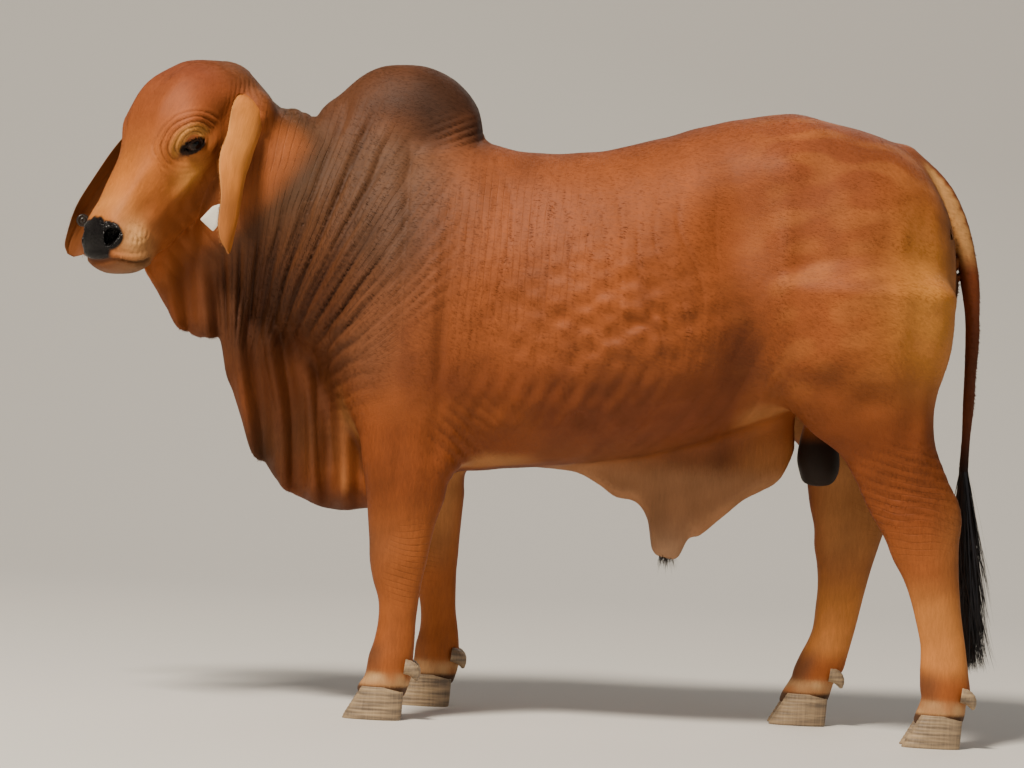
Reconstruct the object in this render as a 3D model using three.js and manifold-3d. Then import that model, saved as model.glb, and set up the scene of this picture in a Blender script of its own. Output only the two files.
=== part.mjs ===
// A Brahman bull standing still, life size, in millimetres: +Z up, muzzle towards -X, left side towards -Y.
// Every part is a closed surface lofted through named stations, then parted from its neighbours.
import * as THREE from "three";
import { mergeVertices } from "three/addons/utils/BufferGeometryUtils.js";
import Module from "manifold-3d";

const wasm = await Module();
wasm.setup();

// Driving sizes of the animal
const GAP = 0.3;
const STANCE = 195;
const HIND_STANCE = 190;
const EYE_RADIUS = 23;
const EAR_HALF_WIDTH = 66;
const EAR_THICKNESS = 7;
const EAR_FACING = { up: -0.55, forward: -0.35 };
const EAR_CUP = 0.75;
const EAR_RIDGE = 8;
const HEAD_ORIGIN = new THREE.Vector3(-778, -165, 1500);
const HEAD_YAW = 43;
const HEAD_PITCH = 53;
const CORONET = 72;
const CLAW_LENGTH = 74;
const CLAW_HALF_WIDTH = 27;
const CLAW_TOE = 22;
const CLAW_TAPER = { half: 5, reach: 22, heel: 10 };
const CLAW_FLAT = 0.62;
const CLAW_SPACING = 29;
const CLAW_FORWARD = 6;
const DEWCLAW = { top: 124, bend: 120, low: 88, reach: 16, tip: 20, radius: 17 };
const HEEL_HEIGHT = 112;
const FORE_KNEE = 395;
const HIND_HOCK = 600;
const MUZZLE_END = 534;

const LEFT = -1;
const RIGHT = 1;
const TAG_THICKNESS = 1.6;
const TAG_TURN = 39;
const TAG_YAW = -12;
const TAG_HOLE = new THREE.Vector3(-686, -330, 1166);
const BUTTON = { s: 362, l: -262, h: -146, radius: 15, thickness: 9, turn: 20, inset: 2 };
const LID = { span: 62, upper: 34, lower: -30, over: 2, thickness: 4 };
const LIP_GROOVE = 3.5;
const NOSE = { s: 500, h: -44, reach: 64, half: 62, height: 46 };
const radians = THREE.MathUtils.degToRad;
const vec = (x, y, z) => new THREE.Vector3(x, y, z);

// A smooth curve through [at, value] points, held level beyond its ends.
function through(points) {
  const slope = points.map((p, i) => {
    const [before, after] = [points[Math.max(i - 1, 0)], points[Math.min(i + 1, points.length - 1)]];
    return (after[1] - before[1]) / (after[0] - before[0]);
  });
  return (at) => {
    if (at <= points[0][0]) return points[0][1];
    if (at >= points.at(-1)[0]) return points.at(-1)[1];
    const i = points.findIndex((p) => p[0] > at) - 1;
    const span = points[i + 1][0] - points[i][0];
    const t = (at - points[i][0]) / span;
    const [t2, t3] = [t * t, t * t * t];
    return (
      points[i][1] * (2 * t3 - 3 * t2 + 1) +
      slope[i] * span * (t3 - 2 * t2 + t) +
      points[i + 1][1] * (3 * t2 - 2 * t3) +
      slope[i + 1] * span * (t3 - t2)
    );
  };
}

// The columns of a station table as smooth functions of its first column.
function stations(names, rows) {
  const table = { first: rows[0][0], last: rows.at(-1)[0] };
  names.forEach((name, i) => {
    table[name] = through(rows.map((row) => [row[0], row[i + 1]]));
  });
  return table;
}

const signedPower = (value, power) => Math.sign(value) * Math.abs(value) ** power;
const mix = (a, b, t) => a + (b - a) * t;

// A closed surface from shape(turn, along): both run from 0 to 1, and both ends close on the ring's middle.
function lofted(around, rows, shape) {
  const geometry = new THREE.SphereGeometry(1, around, rows);
  const { position, uv } = geometry.attributes;
  for (let i = 0; i < position.count; i += 1) {
    const along = 1 - uv.getY(i);
    const pole = along < 1e-6 || along > 1 - 1e-6;
    const turn = pole ? 0 : uv.getX(i) % 1;
    const p = shape(turn, along);
    if (pole) p.add(shape(0.5, along)).multiplyScalar(0.5);
    position.setXYZ(i, p.x, p.y, p.z);
  }
  return solid(geometry);
}

// A closed geometry as a solid with its faces out.
function solid(geometry) {
  const bare = new THREE.BufferGeometry().setAttribute("position", geometry.attributes.position);
  if (geometry.index) bare.setIndex(geometry.index);
  const merged = mergeVertices(bare, 1e-3);
  const triVerts = Uint32Array.from(merged.index.array);
  const vertProperties = merged.attributes.position.array;
  const build = () => new wasm.Manifold(new wasm.Mesh({ numProp: 3, vertProperties, triVerts }));
  const made = build();
  if (made.volume() > 0) return made;
  for (let i = 0; i < triVerts.length; i += 3) {
    [triVerts[i + 1], triVerts[i + 2]] = [triVerts[i + 2], triVerts[i + 1]];
  }
  return build();
}

// The largest closed body of a solid.
const largest = (made) => made.decompose().reduce((a, b) => (b.volume() > a.volume() ? b : a));
const without = (made, ...others) => others.reduce((left, other) => left.subtract(other), made);
const joined = (...pieces) => pieces.reduce((a, b) => a.add(b));

// A box between two corners.
function block(low, high) {
  const size = high.clone().sub(low);
  const geometry = new THREE.BoxGeometry(size.x, size.y, size.z);
  geometry.translate(low.x + size.x / 2, low.y + size.y / 2, low.z + size.z / 2);
  return solid(geometry);
}

// A tube along a curve, its radius given from 0 to 1 along it, flattened across by flat.
function tube(curve, radius, around, rows, flat = 1, side = vec(0, 1, 0)) {
  return lofted(around, rows, (turn, along) => {
    const centre = curve.getPoint(along);
    const tangent = curve.getTangent(along);
    const across = vec().crossVectors(tangent, side).normalize();
    const outward = vec().crossVectors(across, tangent).normalize();
    const angle = turn * 2 * Math.PI;
    const size = radius(along);
    return centre
      .addScaledVector(across, Math.cos(angle) * size)
      .addScaledVector(outward, Math.sin(angle) * size * flat);
  });
}

// Bumps and hollows of muscle and bone: centre, reach along X, Y and Z, and height, mirrored on both sides.
const RELIEF = {
  shoulderBlade: [vec(-215, 270, 1060), vec(120, 160, 190), 16],
  shoulderPoint: [vec(-330, 235, 830), vec(80, 120, 90), 16],
  girthHollow: [vec(-70, 270, 800), vec(60, 150, 170), -16],
  ribSpring: [vec(220, 320, 930), vec(190, 160, 190), 10],
  flankHollow: [vec(520, 290, 1150), vec(85, 160, 110), -24],
  lowerFlank: [vec(520, 290, 850), vec(90, 160, 130), -14],
  hookBone: [vec(600, 230, 1335), vec(70, 90, 70), 16],
  thighMuscle: [vec(830, 270, 1040), vec(130, 160, 160), 16],
  pinBone: [vec(985, 110, 1245), vec(60, 70, 70), 14],
};

// How far the relief lifts a point of the body.
function relief(p) {
  return Object.values(RELIEF).reduce((sum, [centre, reach, height]) => {
    const dx = (p.x - centre.x) / reach.x;
    const dy = (Math.abs(p.y) - centre.y) / reach.y;
    const dz = (p.z - centre.z) / reach.z;
    return sum + height * Math.exp(-(dx * dx + dy * dy + dz * dz));
  }, 0);
}

// Body sections across X: top and low line, half width, height of the widest place, and squareness.
const TRUNK = stations(
  ["top", "low", "half", "wide", "up", "down"],
  [
    [-452, 1010, 900, 40, 960, 2, 2],
    [-430, 1180, 760, 140, 930, 2, 2],
    [-380, 1300, 660, 208, 900, 2.1, 2.1],
    [-280, 1368, 585, 258, 900, 2.1, 2.2],
    [-150, 1370, 572, 286, 900, 2.1, 2.3],
    [0, 1342, 588, 302, 900, 2.2, 2.3],
    [150, 1347, 604, 320, 905, 2.3, 2.3],
    [300, 1384, 628, 326, 925, 2.3, 2.2],
    [450, 1431, 668, 312, 960, 2.4, 2.1],
    [560, 1455, 712, 296, 1000, 2.5, 2],
    [640, 1463, 745, 290, 1030, 2.5, 2],
    [760, 1440, 800, 290, 1060, 2.3, 2],
    [860, 1413, 850, 268, 1070, 2.1, 2],
    [930, 1368, 880, 236, 1075, 2, 2],
    [985, 1290, 915, 190, 1080, 2, 2],
    [1022, 1200, 960, 120, 1080, 2, 2],
    [1036, 1110, 1040, 30, 1075, 2, 2],
  ],
);

// The point of a section table at a station and an angle, grown outwards by grow.
function sectionPoint(table, x, angle, grow = 0) {
  const [c, s] = [Math.cos(angle), Math.sin(angle)];
  const power = 2 / (s >= 0 ? table.up(x) : table.down(x));
  const wide = table.wide(x);
  const height = s >= 0 ? table.top(x) - wide : wide - table.low(x);
  const middle = table.middle ? table.middle(x) : 0;
  return vec(
    x,
    middle + signedPower(c, power) * (table.half(x) + grow),
    wide + signedPower(s, power) * (height + grow),
  );
}

const spaced = (table, along, ease = 0.35) =>
  mix(table.first, table.last, along - (ease * Math.sin(2 * Math.PI * along)) / (2 * Math.PI));

function trunk(grow = 0) {
  return lofted(30, 26, (turn, along) => {
    const x = spaced(TRUNK, along, 0.6);
    const p = sectionPoint(TRUNK, x, turn * 2 * Math.PI, grow);
    const lift = relief(p);
    const out = vec(0, p.y, (p.z - TRUNK.wide(x)) * 0.5);
    if (out.lengthSq() > 1) p.addScaledVector(out.normalize(), lift);
    return p;
  });
}

// The hump: sections across X that lean back over the loin.
const HUMP = stations(
  ["top", "low", "half", "wide", "up", "down"],
  [
    [-500, 1330, 1300, 20, 1315, 2, 2],
    [-480, 1408, 1250, 78, 1300, 2.1, 2],
    [-430, 1466, 1220, 100, 1310, 2.1, 2],
    [-380, 1508, 1210, 116, 1330, 2.1, 2],
    [-320, 1530, 1210, 124, 1345, 2.1, 2],
    [-260, 1533, 1210, 124, 1350, 2.1, 2],
    [-200, 1516, 1220, 114, 1345, 2.1, 2],
    [-150, 1484, 1240, 98, 1350, 2, 2],
    [-115, 1440, 1290, 74, 1360, 2, 2],
    [-99, 1392, 1340, 30, 1366, 2, 2],
  ],
);

const hump = (grow = 0) =>
  lofted(20, 14, (turn, along) => sectionPoint(HUMP, spaced(HUMP, along, 0.8), turn * 2 * Math.PI, grow));

// The neck's core, turned towards the left as the head is.
const NECK = stations(
  ["top", "low", "half", "wide", "up", "down", "middle"],
  [
    [-760, 1380, 1080, 60, 1230, 2, 2, -130],
    [-735, 1435, 1040, 100, 1230, 2, 2, -120],
    [-690, 1448, 1000, 122, 1220, 2, 2, -103],
    [-640, 1440, 960, 136, 1200, 2, 2, -84],
    [-575, 1416, 910, 152, 1170, 2, 2, -60],
    [-505, 1402, 850, 176, 1120, 2, 2, -36],
    [-430, 1392, 780, 206, 1060, 2, 2, -18],
    [-350, 1380, 700, 236, 1000, 2, 2, -6],
    [-280, 1360, 640, 240, 950, 2, 2, 0],
    [-240, 1250, 760, 150, 950, 2, 2, 0],
  ],
);

// Upright skin folds round the neck.
const NECK_FOLD = 46;
const NECK_FOLD_HEIGHT = 5;
const neckFold = (p) => NECK_FOLD_HEIGHT * Math.cos((2 * Math.PI * (p.x + 0.18 * (1250 - p.z))) / NECK_FOLD);

const neck = (grow = 0) =>
  lofted(18, 19, (turn, along) => {
    const x = mix(NECK.first, NECK.last, along);
    const angle = turn * 2 * Math.PI;
    const fold = neckFold(sectionPoint(NECK, x, angle)) * Math.sin(Math.PI * along);
    return sectionPoint(NECK, x, angle, grow + fold);
  });

// The dewlap: a hanging sheet from throat to brisket, pleated and swung from side to side.
const DEWLAP = stations(
  ["low", "top", "half", "middle"],
  [
    [-872, 1022, 1060, 16, -210],
    [-852, 990, 1080, 20, -200],
    [-818, 934, 1100, 24, -180],
    [-784, 884, 1120, 27, -160],
    [-732, 863, 1140, 30, -135],
    [-690, 856, 1160, 32, -110],
    [-672, 780, 1160, 34, -100],
    [-655, 738, 1150, 36, -90],
    [-630, 668, 1130, 38, -74],
    [-606, 600, 1110, 40, -60],
    [-570, 568, 1080, 42, -48],
    [-530, 518, 1040, 46, -34],
    [-481, 490, 1000, 54, -20],
    [-428, 472, 960, 66, -10],
    [-380, 470, 900, 78, -4],
    [-330, 474, 860, 84, 0],
    [-270, 500, 820, 84, 0],
    [-200, 545, 780, 70, 0],
    [-140, 580, 740, 20, 0],
  ],
);
const PLEAT = 74;
const PLEAT_SWING = 15;

function dewlap(grow = 0) {
  return lofted(14, 32, (turn, along) => {
    const x = mix(DEWLAP.first, DEWLAP.last, along);
    const angle = turn * 2 * Math.PI;
    const [c, s] = [Math.cos(angle), Math.sin(angle)];
    const height = DEWLAP.top(x) - DEWLAP.low(x);
    const up = 0.5 + 0.5 * signedPower(s, 0.75);
    const z = DEWLAP.low(x) - grow + up * (height + 2 * grow);
    const ends = Math.sin(Math.PI * along) ** 0.4;
    const swing = PLEAT_SWING * Math.sin((2 * Math.PI * (x + 0.12 * z)) / PLEAT) * (1 - up) ** 0.5 * ends;
    const rim = 1 + 0.25 * Math.exp(-(((up - 0.1) / 0.12) ** 2));
    return vec(x, DEWLAP.middle(x) + swing + signedPower(c, 0.7) * (DEWLAP.half(x) * rim + grow), z);
  });
}

// A leg: sections across Z from the coronet up, as front and back line, half width and middle.
const legTable = (rows) => stations(["front", "back", "half", "middle"], rows);
const FORE_LEFT = legTable([
  [CORONET - 22, -322, -214, 44, 0],
  [CORONET, -326, -206, 46, 0],
  [99, -310, -197, 45, 0],
  [146, -302, -193, 44, 0],
  [182, -291, -193, 40, 0],
  [229, -284, -194, 37, 0],
  [276, -286, -190, 38, 0],
  [326, -303, -184, 47, 0],
  [368, -313, -175, 54, 0],
  [422, -316, -165, 54, 0],
  [469, -320, -155, 58, 0],
  [517, -323, -142, 64, 0],
  [552, -326, -136, 68, 0],
  [599, -336, -118, 74, -4],
  [657, -346, -122, 80, -14],
  [738, -368, -120, 84, -26],
  [830, -384, -110, 84, -44],
  [950, -370, -100, 70, -60],
  [1060, -330, -120, 30, -80],
]);
const FORE_RIGHT_SHIFT = through([
  [0, 112],
  [160, 98],
  [400, 64],
  [600, 30],
  [900, 0],
]);
const HIND_LEFT = legTable([
  [CORONET - 22, 972, 1088, 43, 0],
  [CORONET, 976, 1096, 45, 0],
  [111, 988, 1100, 44, 0],
  [134, 985, 1106, 45, 0],
  [162, 984, 1102, 44, 0],
  [227, 982, 1090, 40, 0],
  [273, 972, 1082, 39, 0],
  [331, 955, 1073, 42, 0],
  [388, 931, 1066, 48, 0],
  [433, 905, 1063, 52, 0],
  [478, 884, 1061, 54, 0],
  [530, 852, 1064, 52, 0],
  [570, 830, 1056, 50, 0],
  [614, 807, 1034, 54, 0],
  [670, 769, 1006, 66, 0],
  [719, 700, 991, 82, 0],
  [774, 650, 986, 100, 2],
  [821, 622, 992, 114, 4],
  [868, 606, 1004, 124, 6],
  [927, 596, 1015, 130, 8],
  [1000, 600, 1021, 128, 14],
  [1080, 620, 1012, 112, 26],
  [1170, 680, 985, 80, 46],
  [1250, 760, 930, 30, 66],
]);
const HIND_RIGHT_SHIFT = through([
  [0, -292],
  [92, -285],
  [147, -266],
  [233, -228],
  [307, -202],
  [400, -170],
  [490, -136],
  [570, -106],
  [700, -60],
  [850, -20],
  [1000, 0],
]);

function leg(table, side, stance, shift, turns, rows, grow = 0) {
  return lofted(turns, rows, (turn, along) => {
    const z = mix(table.first, table.last, along ** 1.15);
    const angle = turn * 2 * Math.PI;
    const [c, s] = [Math.cos(angle), Math.sin(angle)];
    const middle = (table.front(z) + table.back(z)) / 2 + shift(z);
    const length = (table.back(z) - table.front(z)) / 2 + grow;
    return vec(
      middle + signedPower(c, 0.92) * length,
      side * (stance + table.middle(z)) + signedPower(s, 0.92) * (table.half(z) + grow),
      z,
    );
  });
}

const still = () => 0;
const LEGS = [
  { name: "foreleg_left", table: FORE_LEFT, side: LEFT, stance: STANCE, shift: still, joint: FORE_KNEE },
  {
    name: "foreleg_right",
    table: FORE_LEFT,
    side: RIGHT,
    stance: STANCE,
    shift: FORE_RIGHT_SHIFT,
    joint: FORE_KNEE,
  },
  { name: "hindleg_left", table: HIND_LEFT, side: LEFT, stance: HIND_STANCE, shift: still, joint: HIND_HOCK },
  {
    name: "hindleg_right",
    table: HIND_LEFT,
    side: RIGHT,
    stance: HIND_STANCE,
    shift: HIND_RIGHT_SHIFT,
    joint: HIND_HOCK,
  },
];

// The head's own frame: forward along the face from the poll, left, and up out of the forehead.
const HEAD_FRAME = (() => {
  const [yaw, pitch] = [radians(HEAD_YAW), radians(HEAD_PITCH)];
  const forward = vec(-Math.cos(pitch) * Math.cos(yaw), -Math.cos(pitch) * Math.sin(yaw), -Math.sin(pitch));
  const left = vec(Math.sin(yaw), -Math.cos(yaw), 0);
  return { forward, left, up: vec().crossVectors(forward, left) };
})();

// A point of the head given along the face, to its left, and above the face line.
const onHead = (s, l, h) =>
  HEAD_ORIGIN.clone()
    .addScaledVector(HEAD_FRAME.forward, s)
    .addScaledVector(HEAD_FRAME.left, l)
    .addScaledVector(HEAD_FRAME.up, h);

const HEAD = stations(
  ["top", "low", "half", "wide", "up", "down"],
  [
    [-60, -104, -150, 20, -126, 2, 2],
    [-52, -62, -180, 62, -120, 2, 2],
    [-34, -26, -206, 88, -110, 2.2, 2],
    [-8, 4, -228, 100, -102, 2.4, 2],
    [70, 44, -256, 114, -86, 2.6, 2],
    [125, 52, -262, 118, -78, 2.7, 1.9],
    [175, 44, -256, 118, -76, 2.7, 1.8],
    [225, 26, -240, 104, -78, 2.6, 1.8],
    [280, 10, -240, 88, -82, 2.5, 1.8],
    [340, -1, -222, 77, -82, 2.5, 1.9],
    [395, -7, -208, 72, -86, 2.5, 2.1],
    [436, -8, -192, 74, -90, 2.5, 2.4],
    [470, -16, -178, 77, -96, 2.5, 2.6],
    [496, -32, -165, 74, -100, 2.4, 2.6],
    [517, -56, -144, 60, -102, 2.3, 2.4],
    [MUZZLE_END, -82, -118, 26, -102, 2.2, 2.2],
  ],
);

// Relief of the skull: reach and height round a place on the head, on both sides.
const HEAD_RELIEF = {
  browRidge: [vec(175, 108, -22), vec(46, 40, 26), 10],
  eyeSocket: [vec(190, 118, -60), vec(34, 40, 26), -7],
  templeHollow: [vec(80, 112, -100), vec(46, 50, 40), -9],
  cheekBone: [vec(240, 92, -122), vec(70, 40, 24), 7],
  cheekMuscle: [vec(110, 92, -190), vec(70, 50, 50), 9],
  lipPad: [vec(465, 62, -96), vec(34, 30, 30), 7],
  chinHollow: [vec(385, 40, -160), vec(40, 60, 26), -6],
};

function headRelief(s, l, h) {
  return Object.values(HEAD_RELIEF).reduce((sum, [centre, reach, height]) => {
    const ds = (s - centre.x) / reach.x;
    const dl = (Math.abs(l) - centre.y) / reach.y;
    const dh = (h - centre.z) / reach.z;
    return sum + height * Math.exp(-(ds * ds + dl * dl + dh * dh));
  }, 0);
}

function head(grow = 0) {
  return lofted(24, 22, (turn, along) => {
    const s = spaced(HEAD, along, 0.3);
    const p = sectionPoint(HEAD, s, turn * 2 * Math.PI, grow);
    const lift = headRelief(s, p.y, p.z);
    const out = vec(0, p.y, p.z - HEAD.wide(s));
    if (out.lengthSq() > 1) p.addScaledVector(out.normalize(), lift);
    return onHead(p.x, p.y, p.z);
  });
}

// An ellipsoid on the head, its axes along the head's own.
function headBall(s, l, h, rs, rl, rh, around = 12, rows = 8) {
  return lofted(around, rows, (turn, along) => {
    const [a, b] = [turn * 2 * Math.PI, along * Math.PI];
    return onHead(
      s - rs * Math.cos(b),
      l + rl * Math.sin(b) * Math.cos(a),
      h + rh * Math.sin(b) * Math.sin(a),
    );
  });
}

// Eyes, lids, nostrils and mouth
const EYE = { s: 192, l: 100, h: -58 };
const NOSTRIL = { s: 474, l: 50, h: -46 };
const MOUTH = [
  [531, -79],
  [520, -80],
  [512, -90],
  [503, -108],
  [490, -126],
  [474, -142],
  [455, -154],
];

// The way the left eye looks and the slant of its opening, as amounts along the face, to the left and up.
const EYE_LOOK = vec(0.3, 0.87, 0.36).normalize();
const EYE_SLANT = vec(0.9, 0, 0.44).projectOnPlane(EYE_LOOK).normalize();
const EYE_OVER = vec().crossVectors(EYE_SLANT, EYE_LOOK).normalize();

// A lid hugs the eyeball from corner to corner, raised above or below the middle by rise degrees.
function lid(side, rise) {
  const points = [-1, -0.6, 0, 0.6, 1].map((t) => {
    const [turn, lift] = [radians(LID.span * t), radians(rise * (1 - t * t))];
    const out = EYE_LOOK.clone()
      .multiplyScalar(Math.cos(turn) * Math.cos(lift))
      .addScaledVector(EYE_SLANT, Math.sin(turn) * Math.cos(lift))
      .addScaledVector(EYE_OVER, Math.sin(lift))
      .multiplyScalar(EYE_RADIUS + LID.over);
    return onHead(EYE.s + out.x, side * (EYE.l + out.y), EYE.h + out.z);
  });
  const radius = (t) => LID.thickness * (1 + Math.sin(Math.PI * t));
  return tube(new THREE.CatmullRomCurve3(points), radius, 6, 8);
}

// Everything below the mouth line and forward of its corner.
function jawRegion(grow) {
  const corner = MOUTH.at(-1);
  const outline = [
    [MUZZLE_END + 40, MOUTH[0][1] + grow],
    ...MOUTH.map(([s, h]) => [s - 0.5 * grow, h + grow]),
    [corner[0] - 6 - grow, corner[1] - 20],
    [corner[0] - 14 - grow, -300],
    [MUZZLE_END + 40, -300],
  ];
  const shape = new THREE.Shape(outline.map(([s, h]) => new THREE.Vector2(s, h)));
  const geometry = new THREE.ExtrudeGeometry(shape, { depth: 240, bevelEnabled: false });
  geometry.translate(0, 0, -120);
  const { position } = geometry.attributes;
  for (let i = 0; i < position.count; i += 1) {
    const p = onHead(position.getX(i), position.getZ(i), position.getY(i));
    position.setXYZ(i, p.x, p.y, p.z);
  }
  return solid(geometry);
}

// The head's surface at a height, as a point on one side.
function headSide(s, h, side) {
  const wide = HEAD.wide(s);
  const up = h >= wide;
  const reach = Math.abs((h - wide) / (up ? HEAD.top(s) - wide : wide - HEAD.low(s)));
  const power = up ? HEAD.up(s) : HEAD.down(s);
  const l = HEAD.half(s) * Math.max(0, 1 - reach ** power) ** (1 / power);
  return onHead(s, side * (l + headRelief(s, l, h)), h);
}

// The groove between the lips, round the muzzle from corner to corner.
function lipGroove() {
  const [front, ...rest] = MOUTH;
  const side = (sign) => rest.map(([s, h]) => headSide(s, h, sign));
  const points = [...side(1).reverse(), onHead(front[0], 0, front[1]), ...side(-1)];
  return tube(new THREE.CatmullRomCurve3(points), () => LIP_GROOVE, 5, 20, 1, HEAD_FRAME.up);
}

// An ear: a long cupped leaf that hangs from its root, hollow side turned in and forward.
const EAR_SPINE = [
  [14, 84, -146],
  [26, 112, -148],
  [58, 138, -146],
  [134, 168, -146],
  [208, 196, -148],
  [285, 224, -164],
  [351, 242, -180],
  [398, 250, -194],
];
const EAR_SPREAD = { left: 1, right: 1.28 };

function ear(name) {
  const side = name === "left" ? 1 : -1;
  const spread = EAR_SPREAD[name];
  const base = EAR_SPINE[0][1];
  const onEar = ([s, l, h]) => onHead(s * mix(1, spread, 0.3), side * (base + (l - base) * spread), h);
  const spine = new THREE.CatmullRomCurve3(EAR_SPINE.map(onEar));
  const width = through([
    [0, 30],
    [0.12, 46],
    [0.28, 64],
    [0.45, EAR_HALF_WIDTH],
    [0.7, 56],
    [0.88, 34],
    [0.96, 18],
    [1, 4],
  ]);
  const outward = HEAD_FRAME.left.clone().multiplyScalar(side);
  outward.addScaledVector(HEAD_FRAME.up, EAR_FACING.up);
  outward.addScaledVector(HEAD_FRAME.forward, EAR_FACING.forward).normalize();
  return lofted(16, 14, (turn, along) => {
    const centre = spine.getPoint(along);
    const tangent = spine.getTangent(along);
    const across = vec().crossVectors(tangent, outward).normalize();
    const normal = vec().crossVectors(across, tangent).normalize();
    if (normal.dot(outward) < 0) normal.negate();
    const angle = turn * 2 * Math.PI;
    const span = Math.cos(angle) * width(along);
    const cup = EAR_CUP * (span * span) / (width(along) + 30);
    const thick = mix(EAR_THICKNESS * 1.8, EAR_THICKNESS * 0.6, along);
    return centre
      .addScaledVector(across, span * 0.9)
      .addScaledVector(normal, EAR_RIDGE - cup + Math.sin(angle) * thick * 0.5);
  });
}

// A flat ear tag: a plate hung from the front edge of the left ear, near its tip.
function earTag() {
  const plate = new THREE.Shape([
    new THREE.Vector2(-21, -54),
    new THREE.Vector2(21, -54),
    new THREE.Vector2(19, -12),
    new THREE.Vector2(9, 5),
    new THREE.Vector2(-9, 5),
    new THREE.Vector2(-19, -12),
  ]);
  const geometry = new THREE.ExtrudeGeometry(plate, { depth: TAG_THICKNESS, bevelEnabled: false });
  geometry.rotateX(radians(90));
  geometry.rotateY(radians(TAG_TURN));
  geometry.rotateZ(radians(TAG_YAW));
  geometry.translate(TAG_HOLE.x, TAG_HOLE.y, TAG_HOLE.z);
  return solid(geometry);
}

// A round tag button on the inside of the right ear.
function tagButton() {
  const geometry = new THREE.CylinderGeometry(BUTTON.radius, BUTTON.radius, BUTTON.thickness, 20);
  const middle = onHead(BUTTON.s, BUTTON.l, BUTTON.h);
  geometry.rotateZ(radians(BUTTON.turn));
  geometry.translate(middle.x, middle.y - BUTTON.inset, middle.z);
  return solid(geometry);
}

// The sheath: a hanging sheet with the tube of the prepuce in its free edge.
const SHEATH = stations(
  ["low", "top", "half"],
  [
    [90, 606, 640, 12],
    [120, 598, 660, 22],
    [172, 583, 680, 30],
    [221, 559, 690, 32],
    [258, 534, 700, 32],
    [310, 520, 710, 33],
    [338, 480, 710, 35],
    [352, 412, 715, 38],
    [384, 394, 720, 40],
    [414, 398, 725, 38],
    [436, 440, 730, 36],
    [464, 452, 735, 34],
    [510, 493, 750, 32],
    [555, 535, 770, 30],
    [601, 562, 790, 28],
    [647, 597, 800, 24],
    [676, 660, 790, 10],
  ],
);

const sheath = (grow = 0) =>
  lofted(12, 21, (turn, along) => {
    const x = mix(SHEATH.first, SHEATH.last, along);
    const angle = turn * 2 * Math.PI;
    const up = 0.5 + 0.5 * signedPower(Math.sin(angle), 0.8);
    const z = mix(SHEATH.low(x), SHEATH.top(x), up);
    const tubeRim = 1 + 0.25 * Math.exp(-(((up - 0.14) / 0.14) ** 2));
    const root = 1 + 0.9 * Math.max(0, up - 0.6) ** 1.5 * 4;
    return vec(x, signedPower(Math.cos(angle), 0.8) * (SHEATH.half(x) * tubeRim * root + grow), z);
  });

// The scrotum: a pear hung between the thighs, its two halves marked by a seam.
const SCROTUM = stations(
  ["front", "back", "half"],
  [
    [583, 722, 745, 14],
    [590, 702, 768, 42],
    [614, 690, 784, 60],
    [645, 682, 788, 64],
    [690, 686, 782, 56],
    [735, 694, 772, 42],
    [800, 690, 780, 36],
  ],
);

const scrotum = () =>
  lofted(16, 9, (turn, along) => {
    const z = mix(SCROTUM.first, SCROTUM.last, along);
    const [c, s] = [Math.cos(turn * 2 * Math.PI), Math.sin(turn * 2 * Math.PI)];
    const seam = 1 - 0.1 * Math.exp(-((s / 0.25) ** 2));
    const middle = (SCROTUM.front(z) + SCROTUM.back(z)) / 2;
    const length = (SCROTUM.back(z) - SCROTUM.front(z)) / 2;
    return vec(middle + c * length * seam, s * SCROTUM.half(z), z);
  });

// The tail: from the rump over the pins and straight down to the switch.
const TAIL = new THREE.CatmullRomCurve3([
  vec(905, 0, 1366),
  vec(952, 0, 1330),
  vec(1006, 0, 1270),
  vec(1048, 0, 1180),
  vec(1074, 0, 1080),
  vec(1083, 0, 960),
  vec(1083, 0, 840),
  vec(1081, 0, 720),
  vec(1080, 0, 585),
]);
const TAIL_CUTS = [1120, 850];
const tailRadius = through([
  [0, 34],
  [0.15, 33],
  [0.35, 26],
  [0.6, 18],
  [1, 12],
]);
const tail = (grow = 0) => tube(TAIL, (t) => tailRadius(t) + grow, 10, 20);

// One flat tapered lock of the switch, bent from its root down and out.
const LOCK_TIP = 0.8;
const LOCK_FLAT = 0.45;
function lock(root, tip, width, bend) {
  const full = (t) => width * (0.35 + 0.65 * Math.sin(Math.PI * Math.min(1, t + 0.3)));
  const curve = new THREE.QuadraticBezierCurve3(root, root.clone().lerp(tip, 0.5).add(bend), tip);
  const away = vec(tip.x - root.x, tip.y - root.y, 0);
  const side = away.lengthSq() > 1 ? away.normalize() : vec(1, 0, 0);
  return tube(curve, (t) => full(t) * (1 - t ** 3) + LOCK_TIP, 6, 4, LOCK_FLAT, side);
}

// A repeatable draw from 0 to 1.
function draws(seed) {
  let state = seed;
  return () => {
    state = (state * 16807) % 2147483647;
    return state / 2147483647;
  };
}

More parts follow.
